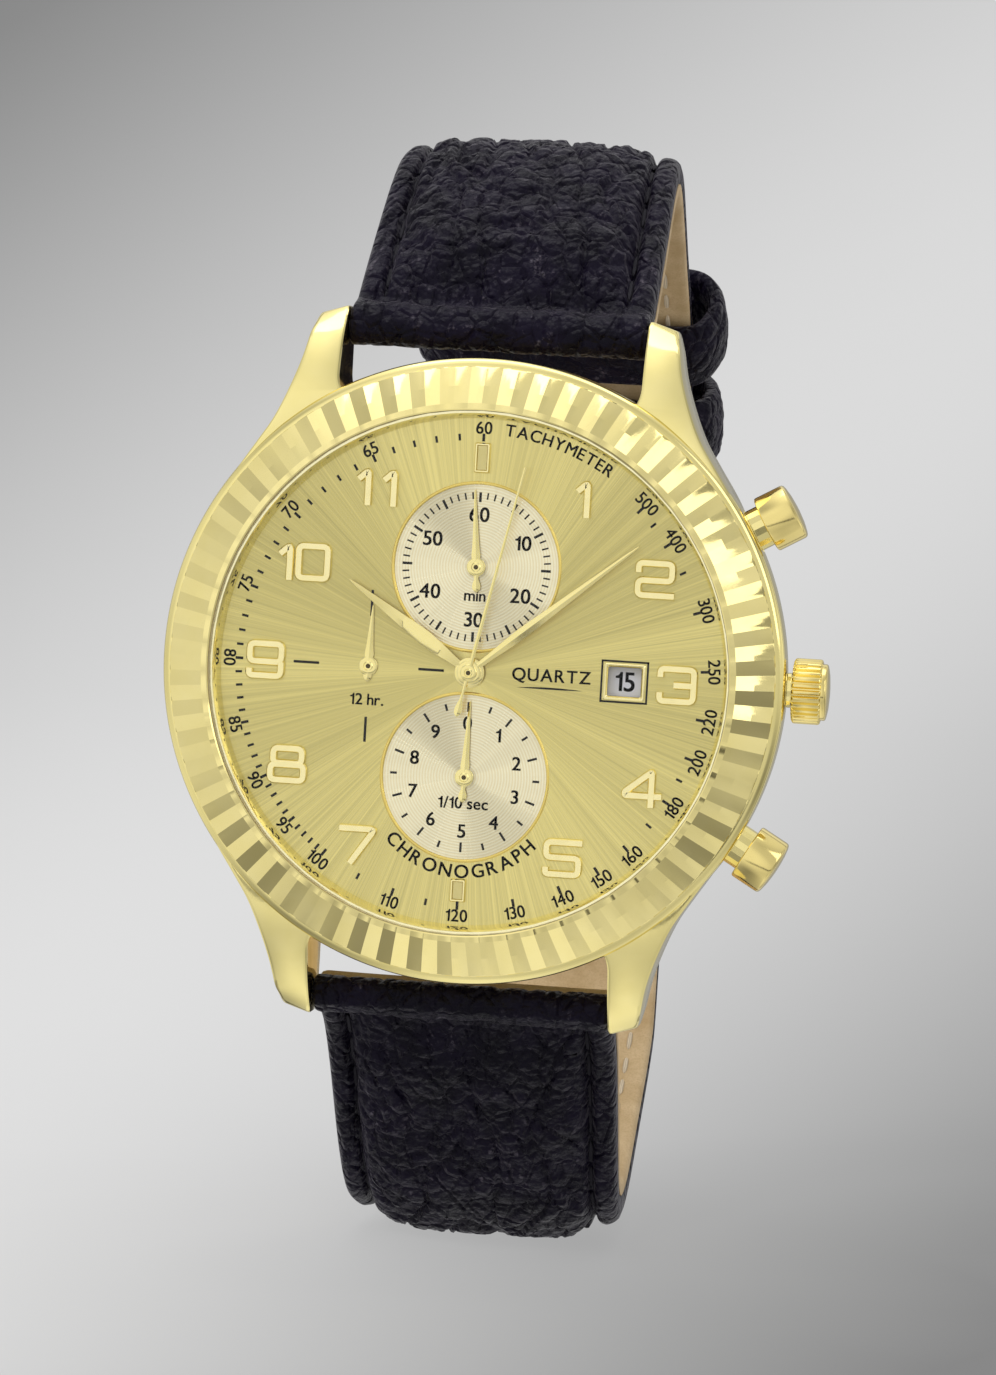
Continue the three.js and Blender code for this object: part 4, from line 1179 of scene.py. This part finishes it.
def hands():
    for name, (widths, front, back, ridge, radius) in BLADES.items():
        shape = merge(blade(widths, front, back, ridge, 0.25), hub(radius, front - 0.02, back, 0.1))
        make(name + "_polished", moved(shape, clockwise(HANDS[name])), "gold", [name], name, sharp=22)
    for body, (x, z, angle, length, tail) in SMALL_HANDS.items():
        widths = [(-tail + along, half) for along, half in LEAF]
        widths += [(0, 0.24), (0.8, 0.3), (1.3, 0.24), (length - 0.3, 0.06), (length, 0.03)]
        arbor = rod(0.22, -8.15, -5, 32)
        shape = merge(blade(widths, -8.17, -8.12, 0.06, 0.2), hub(0.62, -8.18, -8.12, 0.09), arbor)
        turned = moved(shape, clockwise(angle, x, z))
        make(body + "_hand_polished", turned, "gold", [body + "_hand"], body, sharp=22)


def pivots():
    """Dark arbor ends set in the middle of each hub."""
    small = {body: (x, z, -8.285) for body, (x, z, *_) in SMALL_HANDS.items()}
    for body, (x, z, front) in {"second_hand": (0, 0, -9.135), **small}.items():
        back = front + 0.1
        pin = revolve([(0, front), (0.11, front), (0.17, front + 0.02), (0.17, back), (0, back)], 32)
        make(body + "_pivot", shifted(pin, x, 0, z), "dark_pin", body=body)


hands()
pivots()

# ---------------------------------------------------------------- crown and pushers


def crown():
    ribs, per, rib_depth = 30, 10, 0.2
    profile = [  # (radius, x, share of the rib's depth)
        (0.0, 22.45, 0), (1.32, 22.45, 0), (1.32, 20.95, 0), (1.8, 20.95, 0), (1.96, 20.98, 0),
        (2.1, 21.06, 0.8), (2.15, 21.14, 1), (2.15, 22.72, 1), (2.1, 22.82, 0.8), (1.96, 22.88, 0),
        (1.86, 22.89, 0), (1.86, 23.12, 0), (1.8, 23.2, 0), (1.6, 23.26, 0), (1.2, 23.335, 0),
        (0.6, 23.385, 0), (0.0, 23.4, 0),
    ]

    def row(j, points):
        valley = rib_depth * smooth(abs((j % per) / per * 2 - 1), 0.35, 0.8)
        return [(r - share * valley, x) for (r, x), (_, _, share) in zip(points, profile)]

    shape = revolve([(r, x) for r, x, _ in profile], ribs * per, "X", row)
    make("crown_ribbed", on_control(shape), "gold_crown", ["crown"], "crown", sharp=40)


def pusher(name, angle):
    profile = [
        (0, 16.6), (0.55, 16.6), (0.55, 23.2), (1.5, 23.2), (1.5, 21.45), (1.78, 21.45), (1.87, 21.5),
        (1.9, 21.6), (1.9, 22.55), (1.9, 23.38), (1.87, 23.5), (1.78, 23.59), (1.6, 23.65), (1.1, 23.74),
        (0.5, 23.79), (0, 23.8),
    ]
    shape = on_control(revolve(profile, 128, "X"), angle)
    make(name + "_polished", shape, "gold_crown", [name], name, sharp=30)


def return_spring(name, joint, angle):
    """The coil under a pusher's cap, which closes up as the pusher goes in."""
    start, end, radius, wire, turns, steps = 21.74, 23.04, 1.05, 0.1, 3, 24
    rise = (end - start) / (turns * TAU * radius)
    rings = []
    for k in range(turns * steps + 1):
        a = TAU * k / steps
        out = Vector((0, math.cos(a), math.sin(a)))
        side = Vector((rise, -math.sin(a), math.cos(a))).normalized().cross(out)
        x = lerp(start, end, k / (turns * steps))
        centre = Vector((x, radius * out.y + CONTROL_Y, radius * out.z))
        angles = [TAU * j / 8 for j in range(8)]
        rings.append([tuple(centre + (out * math.cos(b) + side * math.sin(b)) * wire) for b in angles])
    place = clockwise(-angle)
    obj = make(name + "_coil", moved(skin(rings), place), "steel_bar", [name], sharp=None)
    foot = [v * MM for v in place(start - wire, CONTROL_Y, 0)]
    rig.squash(obj, joint, axis=place(1, 0, 0), anchor=foot, keep=0.42)


crown()
pusher("start_pusher", 30)
pusher("reset_pusher", -30)
return_spring("start_pusher_spring", "start_push", 30)
return_spring("reset_pusher_spring", "reset_push", -30)

# ---------------------------------------------------------------- strap

SHORT_R, TAIL_R = 21.8, 24.3
TAIL_BACK = ARC[0] + TAIL_R
STITCH_PITCH = 2.9
FIRST_STITCH = 5
GROOVE_DEPTH = 0.62
TIP_LENGTH = 8
LINING = 1.0
LINING_GAP = 0.03  # between the lining and the padded layer, where they never share a face
LUG_LIFT = 0.42  # how far the padded layer stands out where it leaves the spring bar


def arc_points(radius, start, end, count):
    angles = [rad(lerp(start, end, i / (count - 1))) for i in range(count)]
    return [(ARC[0] + radius * math.cos(a), ARC[1] + radius * math.sin(a)) for a in angles]


def short_route():
    to_arc = [
        (-4.2, 22.3), (-2, 24.3), (4.5, 29.4), (10, 33.5), (13.5, 35.2), (17, 35.8), (20.5, 35.2),
        (24.5, 33.4),
    ]
    points = [tuple(p) for p in spline(to_arc + arc_points(SHORT_R, 63, 60, 2), 120)]
    return points + arc_points(SHORT_R, 59.5, 0, 60) + [(ARC[0] + SHORT_R, 8.4)]


def long_route():
    to_back = [
        (-4.2, -22.3), (-2, -23.6), (1, -25.2), (4.5, -28.6), (10, -35.2), (14, -38.6), (19, -39.9),
        (26, -38.7), (34.5, -34.5), (40, -30.7), (44, -26.6), (TAIL_BACK - 0.7, -21.6), (TAIL_BACK, -15),
        (TAIL_BACK, -13),
    ]
    points = [tuple(p) for p in spline(to_back, 200)]
    return points + [(TAIL_BACK, -6), (TAIL_BACK, 2)] + arc_points(TAIL_R, 0, 62, 60)


class Strap:
    """One strap. Rows run along its outer face from the lug; depth is measured into the strap."""

    def __init__(self, name, route, turn, thin, tip=False):
        self.name, self.turn, self.thin, self.tip = name, turn, thin, tip
        self.length = sum((Vector(b) - Vector(a)).length for a, b in zip(route, route[1:]))
        self.rows = resample(route, int(self.length / 0.2))
        self.last = len(self.rows) - 1

    def frame_at(self, i):
        along = (self.rows[min(i + 1, self.last)] - self.rows[max(i - 1, 0)]).normalized()
        return self.rows[i], Vector((self.turn * along.y, -self.turn * along.x))

    def run(self, i):
        return self.length * i / self.last

    def depth(self, i):
        share = i / self.last
        return lerp(2.6, lerp(3.6, self.thin, min(share / 0.55, 1)), min(share / 0.08, 1))

    def narrowing(self, run):
        """1, or less within the rounded tip."""
        left = self.length - run
        if not self.tip or left >= TIP_LENGTH:
            return 1.0
        return math.sqrt(max(1 - ((TIP_LENGTH - left) / (TIP_LENGTH + 0.35)) ** 2.6, 0.004))


def strap_width(y):
    """Half the strap's width, by how far it is behind the dial."""
    return lerp(9.97, 9.3, smooth(y, -1, 36)) - 0.35 * smooth(y, 40, 47)


def grain(x, run, seed):
    """Height in mm of the leather's wrinkles and pebbles at a place on the flat strap."""
    p = Vector((x, run, seed))
    q = p + noise.noise_vector(p * 0.2) * 1.5
    swell = noise.noise(Vector((q.x * 0.2, q.y * 0.24, seed))) * 0.22
    long_lines = 1 - abs(noise.noise(Vector((q.x * 0.36 + q.y * 0.05, q.y * 0.09, seed + 7))))
    cross_lines = 1 - abs(noise.noise(Vector((q.x * 0.4 - q.y * 0.14, q.y * 0.42, seed + 3))))
    crease = -0.36 * smooth(long_lines, 0.88, 1.0) - 0.22 * smooth(cross_lines, 0.91, 1.0)
    near, far = noise.voronoi(Vector((q.x * 0.75, q.y * 0.85, seed)))[0][:2]
    pebble = 0.15 * (0.5 - near) + 0.1 * smooth(far - near, 0.0, 0.2)
    small = noise.voronoi(Vector((p.x * 1.7, p.y * 1.8, seed + 11)))[0][0]
    return swell + crease + pebble - 0.08 * small + noise.noise(p * 2.6) * 0.03


def across_places(width, columns=104):
    """Places across the top face, closer together at the edges."""
    shares = [2 * k / columns - 1 for k in range(columns + 1)]
    return [width * math.sin(math.pi / 2 * s) * 0.25 + width * s * 0.75 for s in shares]


def strap_height(strap, x, run, width, seed):
    """Height of the top face over the outer line: padded middle, sewn groove, rolled end and grain."""
    edge = width - abs(x)
    sewn = smooth(run, 3.6, 4.4)
    if strap.tip:
        sewn *= 1 - smooth(run, strap.length - 5.5, strap.length - 4.5)
    share = abs(x) / max(width - 1.75, 0.1)
    fat = 1 - smooth(run / strap.length, 0.1, 0.6)
    pad = (1 - min(share, 1) ** 5) ** 0.75 * lerp(0.3, 1.75, fat) * smooth(run, 2.4, 9.0)
    margin = 0.22 * hump(edge, 0.95, 0.6) * sewn
    groove = -0.62 * hump(edge, 1.8, 0.24) * sewn
    roll = -0.34 * hump(run, 3.3, 0.8) * smooth(edge, 0.3, 1.5) + 0.3 * hump(run, 1.2, 1.2)
    height = -0.2 + pad + margin + groove + roll
    strength = lerp(0.35, 1.0, smooth(run, 2.6, 5.0)) * (0.45 if edge < 1.75 else 1.0)
    height += grain(x, run, seed) * smooth(edge, 0.0, 0.8) * strength
    r = lerp(0.3, 0.62, smooth(run, 0.0, 4.0))
    if edge < r:
        height -= r - math.sqrt(max(r * r - (r - edge) ** 2, 0))
    return height


def strap_leather(strap, seed):
    bar = Vector((BAR[0], strap.turn * BAR[1]))
    nose_steps, nose_r, nose_run = 26, 1.32, 2.6

    def section(origin, inward, thickness, run, width):
        top = [(x, strap_height(strap, x, run, width, seed)) for x in across_places(width)]
        side = [(width, -lerp(0.62, thickness, t)) for t in (0.25, 0.6)]
        under = [(x, -thickness) for x in (width - 0.12, width * 0.5, 0, -width * 0.5, -width + 0.12)]
        loop = top + side + under + [(-x, h) for x, h in reversed(side)]
        return [(x, origin.x - inward.x * h, origin.y - inward.y * h) for x, h in loop]

    rings = []
    for k in range(nose_steps):  # the rolled end round the spring bar
        t = k / nose_steps
        a = rad(lerp(-70, -225, t)) * strap.turn
        out = Vector((math.cos(a), math.sin(a)))
        rings.append(section(bar + out * nose_r, -out, 1.18, -nose_run * (1 - t), strap_width(BAR[0])))
    for i in range(strap.last + 1):
        run = strap.run(i)
        if run < 1.55:
            continue
        p, inward = strap.frame_at(i)
        lift = 1 - smooth(run, 1.5, 4.2)
        base = p - inward * LUG_LIFT * lift
        thickness = strap.depth(i) - (LINING + LINING_GAP) + LUG_LIFT * lift
        width = strap_width(p.x) * strap.narrowing(run)
        rings.append(section(base, inward, thickness, run, width))
    obj = make(strap.name + "_padded", skin(rings), "leather", [strap.name + "_leather"], sharp=None)
    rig.padded(obj, fill=0.6)


def strap_lining(strap):
    """The tan inner layer, slightly narrower, with its edges eased over."""
    rings = []
    for i in range(0, strap.last + 1, 2):
        run = strap.run(i)
        if run < 2.2:
            continue
        p, inward = strap.frame_at(i)
        inset = lerp(0.4, 0.06, smooth(strap.length - run, 3, 12)) if strap.tip else 0.06
        width = (strap_width(p.x) - inset) * strap.narrowing(run)
        lay = strap.depth(i) - LINING
        side = [(width + 0.02, 0.3), (width, 0.7), (width - 0.12, 0.9), (width - 0.35, 0.99)]
        loop = [(x * width, lay) for x in (-1, -0.5, 0, 0.5, 1)]
        loop += [(x, lay + deep) for x, deep in side]
        for x in (1, 0.75, 0.5, 0.25, 0, -0.25, -0.5, -0.75, -1):
            wave = 0.05 * noise.noise(Vector((x * 3, run * 0.3, 5)))
            loop.append((x * (width - 0.5), lay + 1.0 + wave))
        loop += [(-x, lay + deep) for x, deep in reversed(side)]
        rings.append([(x, p.x + inward.x * d, p.y + inward.y * d) for x, d in loop])
    make(strap.name + "_tan", skin(rings), "lining", [strap.name + "_lining"], sharp=50)


def capsule(a, b, normal, wide, high):
    """A short plump stitch from a to b, bulging along normal."""
    start, along, up = Vector(a), Vector(b) - Vector(a), Vector(normal).normalized()
    side = along.normalized().cross(up)
    rings = []
    for t in (0, 0.1, 0.28, 0.5, 0.72, 0.9, 1):
        size = math.sqrt(max(1 - (2 * t - 1) ** 4, 0.02))
        mid = start + along * t + up * (high * 0.25 * size)
        angles = [TAU * k / 8 for k in range(8)]
        offsets = [(wide / 2 * size * math.cos(b), high / 2 * size * math.sin(b)) for b in angles]
        rings.append([tuple(mid + side * u + up * v) for u, v in offsets])
    return skin(rings)


def stitches(strap, name, material, inset, depth_at, facing, length, wide, high):
    """A row of stitches along both edges, on the inner side (facing 1) or in the outer groove (facing -1)."""
    shapes = []
    run = FIRST_STITCH
    last = strap.length - (9 if strap.tip else 6)
    while run + length < last:
        ends = []
        for r in (run, run + length):
            i = round(clamp(r / strap.length * strap.last, 0, strap.last))
            ends.append((*strap.frame_at(i), depth_at(i)))
        inward = ends[0][1]
        normal = (0, inward.x * facing, inward.y * facing)
        for side in (-1, 1):
            points = [(side * (strap_width(p.x) - inset), p.x + v.x * d, p.y + v.y * d) for p, v, d in ends]
            shapes.append(capsule(*points, normal, wide, high))
        run += STITCH_PITCH
    make(strap.name + name, merge(*shapes), material, sharp=60)


short_strap = Strap("strap_12", short_route(), 1, 2.4)
long_strap = Strap("strap_6", long_route(), -1, 2.3, tip=True)
strap_leather(short_strap, 3.1)
strap_leather(long_strap, 21.7)
strap_lining(short_strap)
strap_lining(long_strap)
for strap in (short_strap, long_strap):
    stitches(strap, "_stitches", "thread", 1.6, strap.depth, 1, 2.0, 0.36, 0.26)
    stitches(strap, "_groove_thread", "thread_black", 1.8, lambda i: GROOVE_DEPTH, -1, 2.2, 0.3, 0.2)

# ---------------------------------------------------------------- keepers and buckle


def keeper(name, body, degrees, bulge):
    """A crowned leather loop round both straps. It bulges at the sides, more on the free one."""
    half, inner, outer, wall, long = 9.5, 18.95, 24.6, 1.25, 5.6
    across = 22
    turn = rad(degrees)
    loop = rounded_loop(box(-half, inner, half, outer), 1.3, 8)
    path = divided(loop + loop[:1], 0.35)
    rings = []
    for i, p in enumerate(path):
        tangent = (path[(i + 1) % len(path)] - path[i - 1]).normalized()
        out = Vector((tangent.y, -tangent.x))
        middle = 1 - abs((p.y - (inner + outer) / 2) / ((outer - inner) / 2)) ** 2
        push = bulge * smooth(abs(p.x), half - 2.2, half) * max(middle, 0)
        ring = []
        for k in range(across + 1):
            s = 2 * k / across - 1
            top = wall - 0.12 - 0.42 * abs(s) ** 6 + 0.16 * (1 - s * s)
            top += 0.5 * grain(s * long / 2 + 40, i * 0.35 + 13, 5.5 + bulge) * (1 - abs(s) ** 4)
            ring.append((top + push, long / 2 * s))
        ring.append((wall * 0.45 + push, long / 2 + 0.03))
        ring += [(0.02 + push * 0.96, s * (long / 2 - 0.1)) for s in (1, 0.5, 0, -0.5, -1)]
        ring.append((wall * 0.45 + push, -long / 2 - 0.03))
        placed = []
        for height, w in ring:
            q = p + out * height
            y, z = q.y * math.cos(turn) - w * math.sin(turn), q.y * math.sin(turn) + w * math.cos(turn)
            placed.append((q.x, ARC[0] + y, ARC[1] + z))
        rings.append(placed)
    make(name + "_loop", skin(rings, closed=True), "leather", [name], body, sharp=None)


def buckle_frame():
    half, reach, tilt = 10.42, 13.0, rad(24.2)
    y0, z0 = BUCKLE_BAR

    def place(x, y, z):
        return (x, y0 + y * math.cos(tilt) - z * math.sin(tilt), z0 + y * math.sin(tilt) + z * math.cos(tilt))

    def section(i):
        end = smooth(-path[i].z, reach - 3, reach)
        return superellipse(lerp(0.92, 1.05, end), lerp(0.88, 0.8, end))

    line = rounded([(half, 1.2), (half, -reach), (-half, -reach), (-half, 1.2)], 3.2, 10)
    path = [Vector((p.x, 0, p.y)) for p in divided(line, 0.5) + [Vector(line[-1])]]
    frame_shape = moved(sweep(path, section, Vector((0, 1, 0))), place)
    make("buckle_frame_polished", frame_shape, "gold", ["buckle_frame"], "buckle_frame", sharp=60)


def buckle_tongue():
    route = [
        (43, 6.4), (43.35, 5.2), (43.9, 3.9), (45.7, 1.9), (47.5, -0.4), (48.8, -2.6), (49.7, -4.5), (50.3, -6),
    ]
    path = [Vector((0, p.x, p.y)) for p in spline(route, 40)]

    def section(i):
        t = i / (len(path) - 1)
        w = lerp(0.95, 0.7, smooth(t, 0.2, 1.0)) * (1 - 0.45 * smooth(t, 0.93, 1.0))
        return superellipse(w, lerp(0.45, 0.4, t), 3.0)

    eye = [(0.82, -0.95), (1.22, -0.95), (1.3, -0.87), (1.3, 0.87), (1.22, 0.95), (0.82, 0.95)]
    eye = revolve(eye, 48, "X")
    shape = merge(shifted(eye, 0, *BUCKLE_BAR), sweep(path, section, Vector((0, 1, 0))))
    make("buckle_tongue_polished", shape, "gold", ["buckle_tongue"], "buckle_tongue", sharp=50)


keeper("fixed_keeper", "case", 22, 0.8)
keeper("free_keeper", "free_keeper", 44, 1.1)
buckle_frame()
buckle_tongue()

# ---------------------------------------------------------------- finishes of the CAD nodes that stay

KEPT = {
    "steel": ["battery", "stator", "rotor", "cannon_pinion"],
    "steel_bar": ["setting_stem", "spring_bar_12", "spring_bar_6", "buckle_bar"],
    "gold_case": ["crown_tube", "start_pusher_tube", "reset_pusher_tube"],
    "gasket": ["crystal_gasket"],
    "brass": ["main_plate", "hour_wheel", "minute_wheel"],
    "plastic": ["movement_holder"],
    "rubber": ["case_back_gasket", "crown_gasket"],
    "board": ["circuit_board"],
    "copper": ["coil"],
    "date": ["date_wheel"],
}
for material, names in KEPT.items():
    for node_name in names:
        node = frame["nodes"][node_name]
        node.data.materials.clear()
        node.data.materials.append(MAT[material])

# ---------------------------------------------------------------- floor, light and camera

FLOOR_Z = -41.4
PAPER_GLOW = 0.745
PALE, DARK, DARKEST, ASIDE = 229, 139, 132, 198  # painted paper tones: in the painted pool of light, beside it, far aside
POOL_EYE = (39, -305, 14)  # where the pool is seen from, and the direction of its middle
POOL_AZIMUTH, POOL_DROP = 7.13, 2.84
POOL_SLOPE, POOL_NARROWNESS, POOL_SHIFT = 0.8, 6.7, 0.0076

# What polished metal mirrors: waves round the dial's axis (count, phase, size), then soft patches (direction,
# cosine where it starts, cosine where it is full, strength), then strips (from, to, depth).
WORLD_BASE = 0.68
WORLD_PANELS = [(4, 0.6, 0.2), (7, 2.1, 0.15), (2, 1.2, 0.06)]
WORLD_PATCHES = [
    ((-0.5, -0.3, 0.85), 0.6, 0.92, 0.12),
    ((0.95, -0.25, 0.05), 0.72, 0.97, -0.2),
    ((0.35, -0.55, -0.75), 0.86, 0.97, -0.12),
    ((-0.35, -1.0, 0.1), 0.75, 0.97, 0.28),
    ((0.0, 0.4, 1.0), 0.5, 0.9, 0.25),
]
TABLE_EDGE = (-0.33, -0.27, 0.55)
TENT_SEAM = (0.6, 0.68, 0.4)
DARK_BEHIND = (0.8, 0.95, 0.0, -0.3)  # a fade: from, to, and the strength at each

CAMERA_AIM = (1.875, -8.0, -0.877)
CAMERA_BACK = (0.1240, -0.9910, 0.0496)  # the direction from there to the camera
CAMERA_AZIMUTH, CAMERA_ROLL = 7.13, 3.30
CAMERA_DISTANCE = 300


def paper_tone(x, y, z):
    """The paper's painted light at a point, from 0 to 1: a soft diagonal pool of light painted behind the watch."""
    dx, dy, dz = x - POOL_EYE[0], y - POOL_EYE[1], z - POOL_EYE[2]
    across = math.atan2(dx, dy) + rad(POOL_AZIMUTH)
    lift = math.atan2(dz, math.hypot(dx, dy)) + rad(POOL_DROP)
    diagonal = POOL_SLOPE * math.tan(clamp(across, -1, 1)) - math.tan(lift) + POOL_SHIFT
    pool = math.cos(clamp(POOL_NARROWNESS * diagonal, -math.pi, math.pi))
    level = lerp(DARK, PALE, pool) if pool > 0 else lerp(DARK, DARKEST, -pool)
    aside = max(smooth(abs(across), 0.13, 0.36), smooth(abs(lift), 0.17, 0.4))
    return lerp(level, ASIDE, aside) / 255


def stage_sweep():
    """Pale paper: a wide floor that curves up into a low wall all round, its colour and glow painting a pool of light.
    """
    flat, bend, top, turns = 700.0, 300.0, 420.0, 144
    profile = [(flat * (k / 24) ** 1.4, FLOOR_Z) for k in range(1, 25)]
    for k in range(1, 19):
        a = rad(90 * k / 18)
        profile.append((flat + bend * math.sin(a), FLOOR_Z + bend * (1 - math.cos(a))))
    profile.append((flat + bend, FLOOR_Z + top))
    verts = [(0.0, 0.0, FLOOR_Z)]
    faces = []
    for r, z in profile:
        verts += [(r * math.sin(TAU * j / turns), r * math.cos(TAU * j / turns), z) for j in range(turns)]
    for j in range(turns):
        k = (j + 1) % turns
        faces.append([0, 1 + k, 1 + j])
        for i in range(len(profile) - 1):
            a, b = 1 + i * turns, 1 + (i + 1) * turns
            faces.append([a + j, a + k, b + k, b + j])
    mesh = mesh_from("studio_sweep", (verts, faces))
    mesh.shade_smooth()
    tone = mesh.attributes.new("tone", "FLOAT", "POINT")
    for i, v in enumerate(verts):
        tone.data[i].value = ((paper_tone(*v) + 0.055) / 1.055) ** 2.4
    # the paper glows with its painted pool of light, though it is no lamp
    g = Surface("studio_paper", (0.6, 0.6, 0.6), 0.95, Specular_IOR_Level=0.0, Emission_Strength=PAPER_GLOW)
    level = g.node("ShaderNodeAttribute", attribute_name="tone").outputs["Fac"]
    grey = g.combine(level, level, level)
    g.set("Base Color", g.blend(0.8, grey, (0, 0, 0)))
    g.set("Emission Color", grey)
    mesh.materials.append(g.mat)
    obj = add_object("studio_sweep", mesh)
    obj.visible_glossy = False  # polished metal mirrors the room's panels, not the paper
    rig.stage(obj)


def area(name, location, target, size, power, mirrored=True):
    data = bpy.data.lights.new(name, "AREA")
    data.shape, data.size, data.size_y, data.energy = "RECTANGLE", size[0] * MM, size[1] * MM, power
    obj = bpy.data.objects.new(name, data)
    obj.location = Vector(location) * MM
    obj.rotation_mode = "QUATERNION"
    obj.rotation_quaternion = (Vector(target) - Vector(location)).to_track_quat("-Z", "Y")
    obj.visible_glossy = mirrored
    bpy.context.scene.collection.objects.link(obj)


def world():
    """A studio tent: pale walls in alternating brighter and darker panels round the dial's axis, as polished
    metal would see it, with a bright top and a softer patch behind the camera."""
    tent = bpy.data.worlds.new("studio")
    bpy.context.scene.world = tent
    tent.use_nodes = True
    g = Graph(tent.node_tree)

    def patch(direction, start, end, high):
        facing = g.vector("DOT_PRODUCT", coord, Vector(direction).normalized())
        return g.fade(facing, start, end, 0.0, high)

    def seam(value, low, high, depth, soft=0.03):
        """A darker strip where the value lies between low and high."""
        into, out = g.fade(value, low - soft, low, 0.0, -depth), g.fade(value, high, high + soft, 0.0, depth)
        return g.math("ADD", into, out)

    coord = g.node("ShaderNodeTexCoord").outputs["Generated"]
    x, y, z = g.split(coord)
    clock = g.math("ARCTAN2", x, z)
    total = None
    for count, phase, size in WORLD_PANELS:
        angle = g.math("ADD", g.math("MULTIPLY", clock, count), phase)
        wave = g.math("MULTIPLY", g.math("COSINE", angle), size)
        total = wave if total is None else g.math("ADD", total, wave)
    total = g.math("MULTIPLY", total, g.fade(g.math("ABSOLUTE", y), 0.45, 0.85, 1.0, 0.0))
    parts = [patch(*light) for light in WORLD_PATCHES]
    parts.append(g.math("MULTIPLY", seam(z, *TABLE_EDGE), g.fade(y, -0.9, -0.8, 1.0, 0.0)))
    parts += [seam(y, *TENT_SEAM), g.fade(y, *DARK_BEHIND), WORLD_BASE]
    for part in parts:
        total = g.math("ADD", total, part)
    background = g.tree.nodes["Background"]
    g.feed(background.inputs["Strength"], g.math("MAXIMUM", total, 0.03))
    g.feed(background.inputs["Color"], (1, 1, 1, 1))


def camera():
    """Looks at the dial from slightly to the right of its axis and above it."""
    back = Vector(CAMERA_BACK).normalized()
    azimuth, roll = rad(CAMERA_AZIMUTH), rad(CAMERA_ROLL)
    level = Vector((math.cos(azimuth), math.sin(azimuth), 0))
    right = level * math.cos(roll) + back.cross(level) * math.sin(roll)
    data = bpy.data.cameras.new("camera")
    data.lens, data.sensor_fit, data.sensor_height, data.sensor_width = 120, "AUTO", 36, 36
    data.clip_start, data.clip_end = 0.01, 10
    obj = add_object("camera", data)
    place = Matrix((right, back.cross(right), back)).transposed().to_4x4()
    place.translation = (Vector(CAMERA_AIM) + back * CAMERA_DISTANCE) * MM
    obj.matrix_world = place
    bpy.context.scene.camera = obj


stage_sweep()
world()
area("key_left", (-420, -420, 420), (0, 0, 0), (170, 170), 1.1, mirrored=False)
area("key_right", (460, -300, 260), (0, 0, 0), (300, 420), 0.5)
area("fill_top", (0, 60, 620), (0, 10, 0), (520, 360), 0.7)
camera()
bpy.context.scene.view_settings.view_transform = "Standard"

made_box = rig.bounds()
with open("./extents.json", "w") as size_file:
    for bounds in (cad_box, made_box):
        print(json.dumps([[float(c) for c in corner] for corner in bounds]), file=size_file)
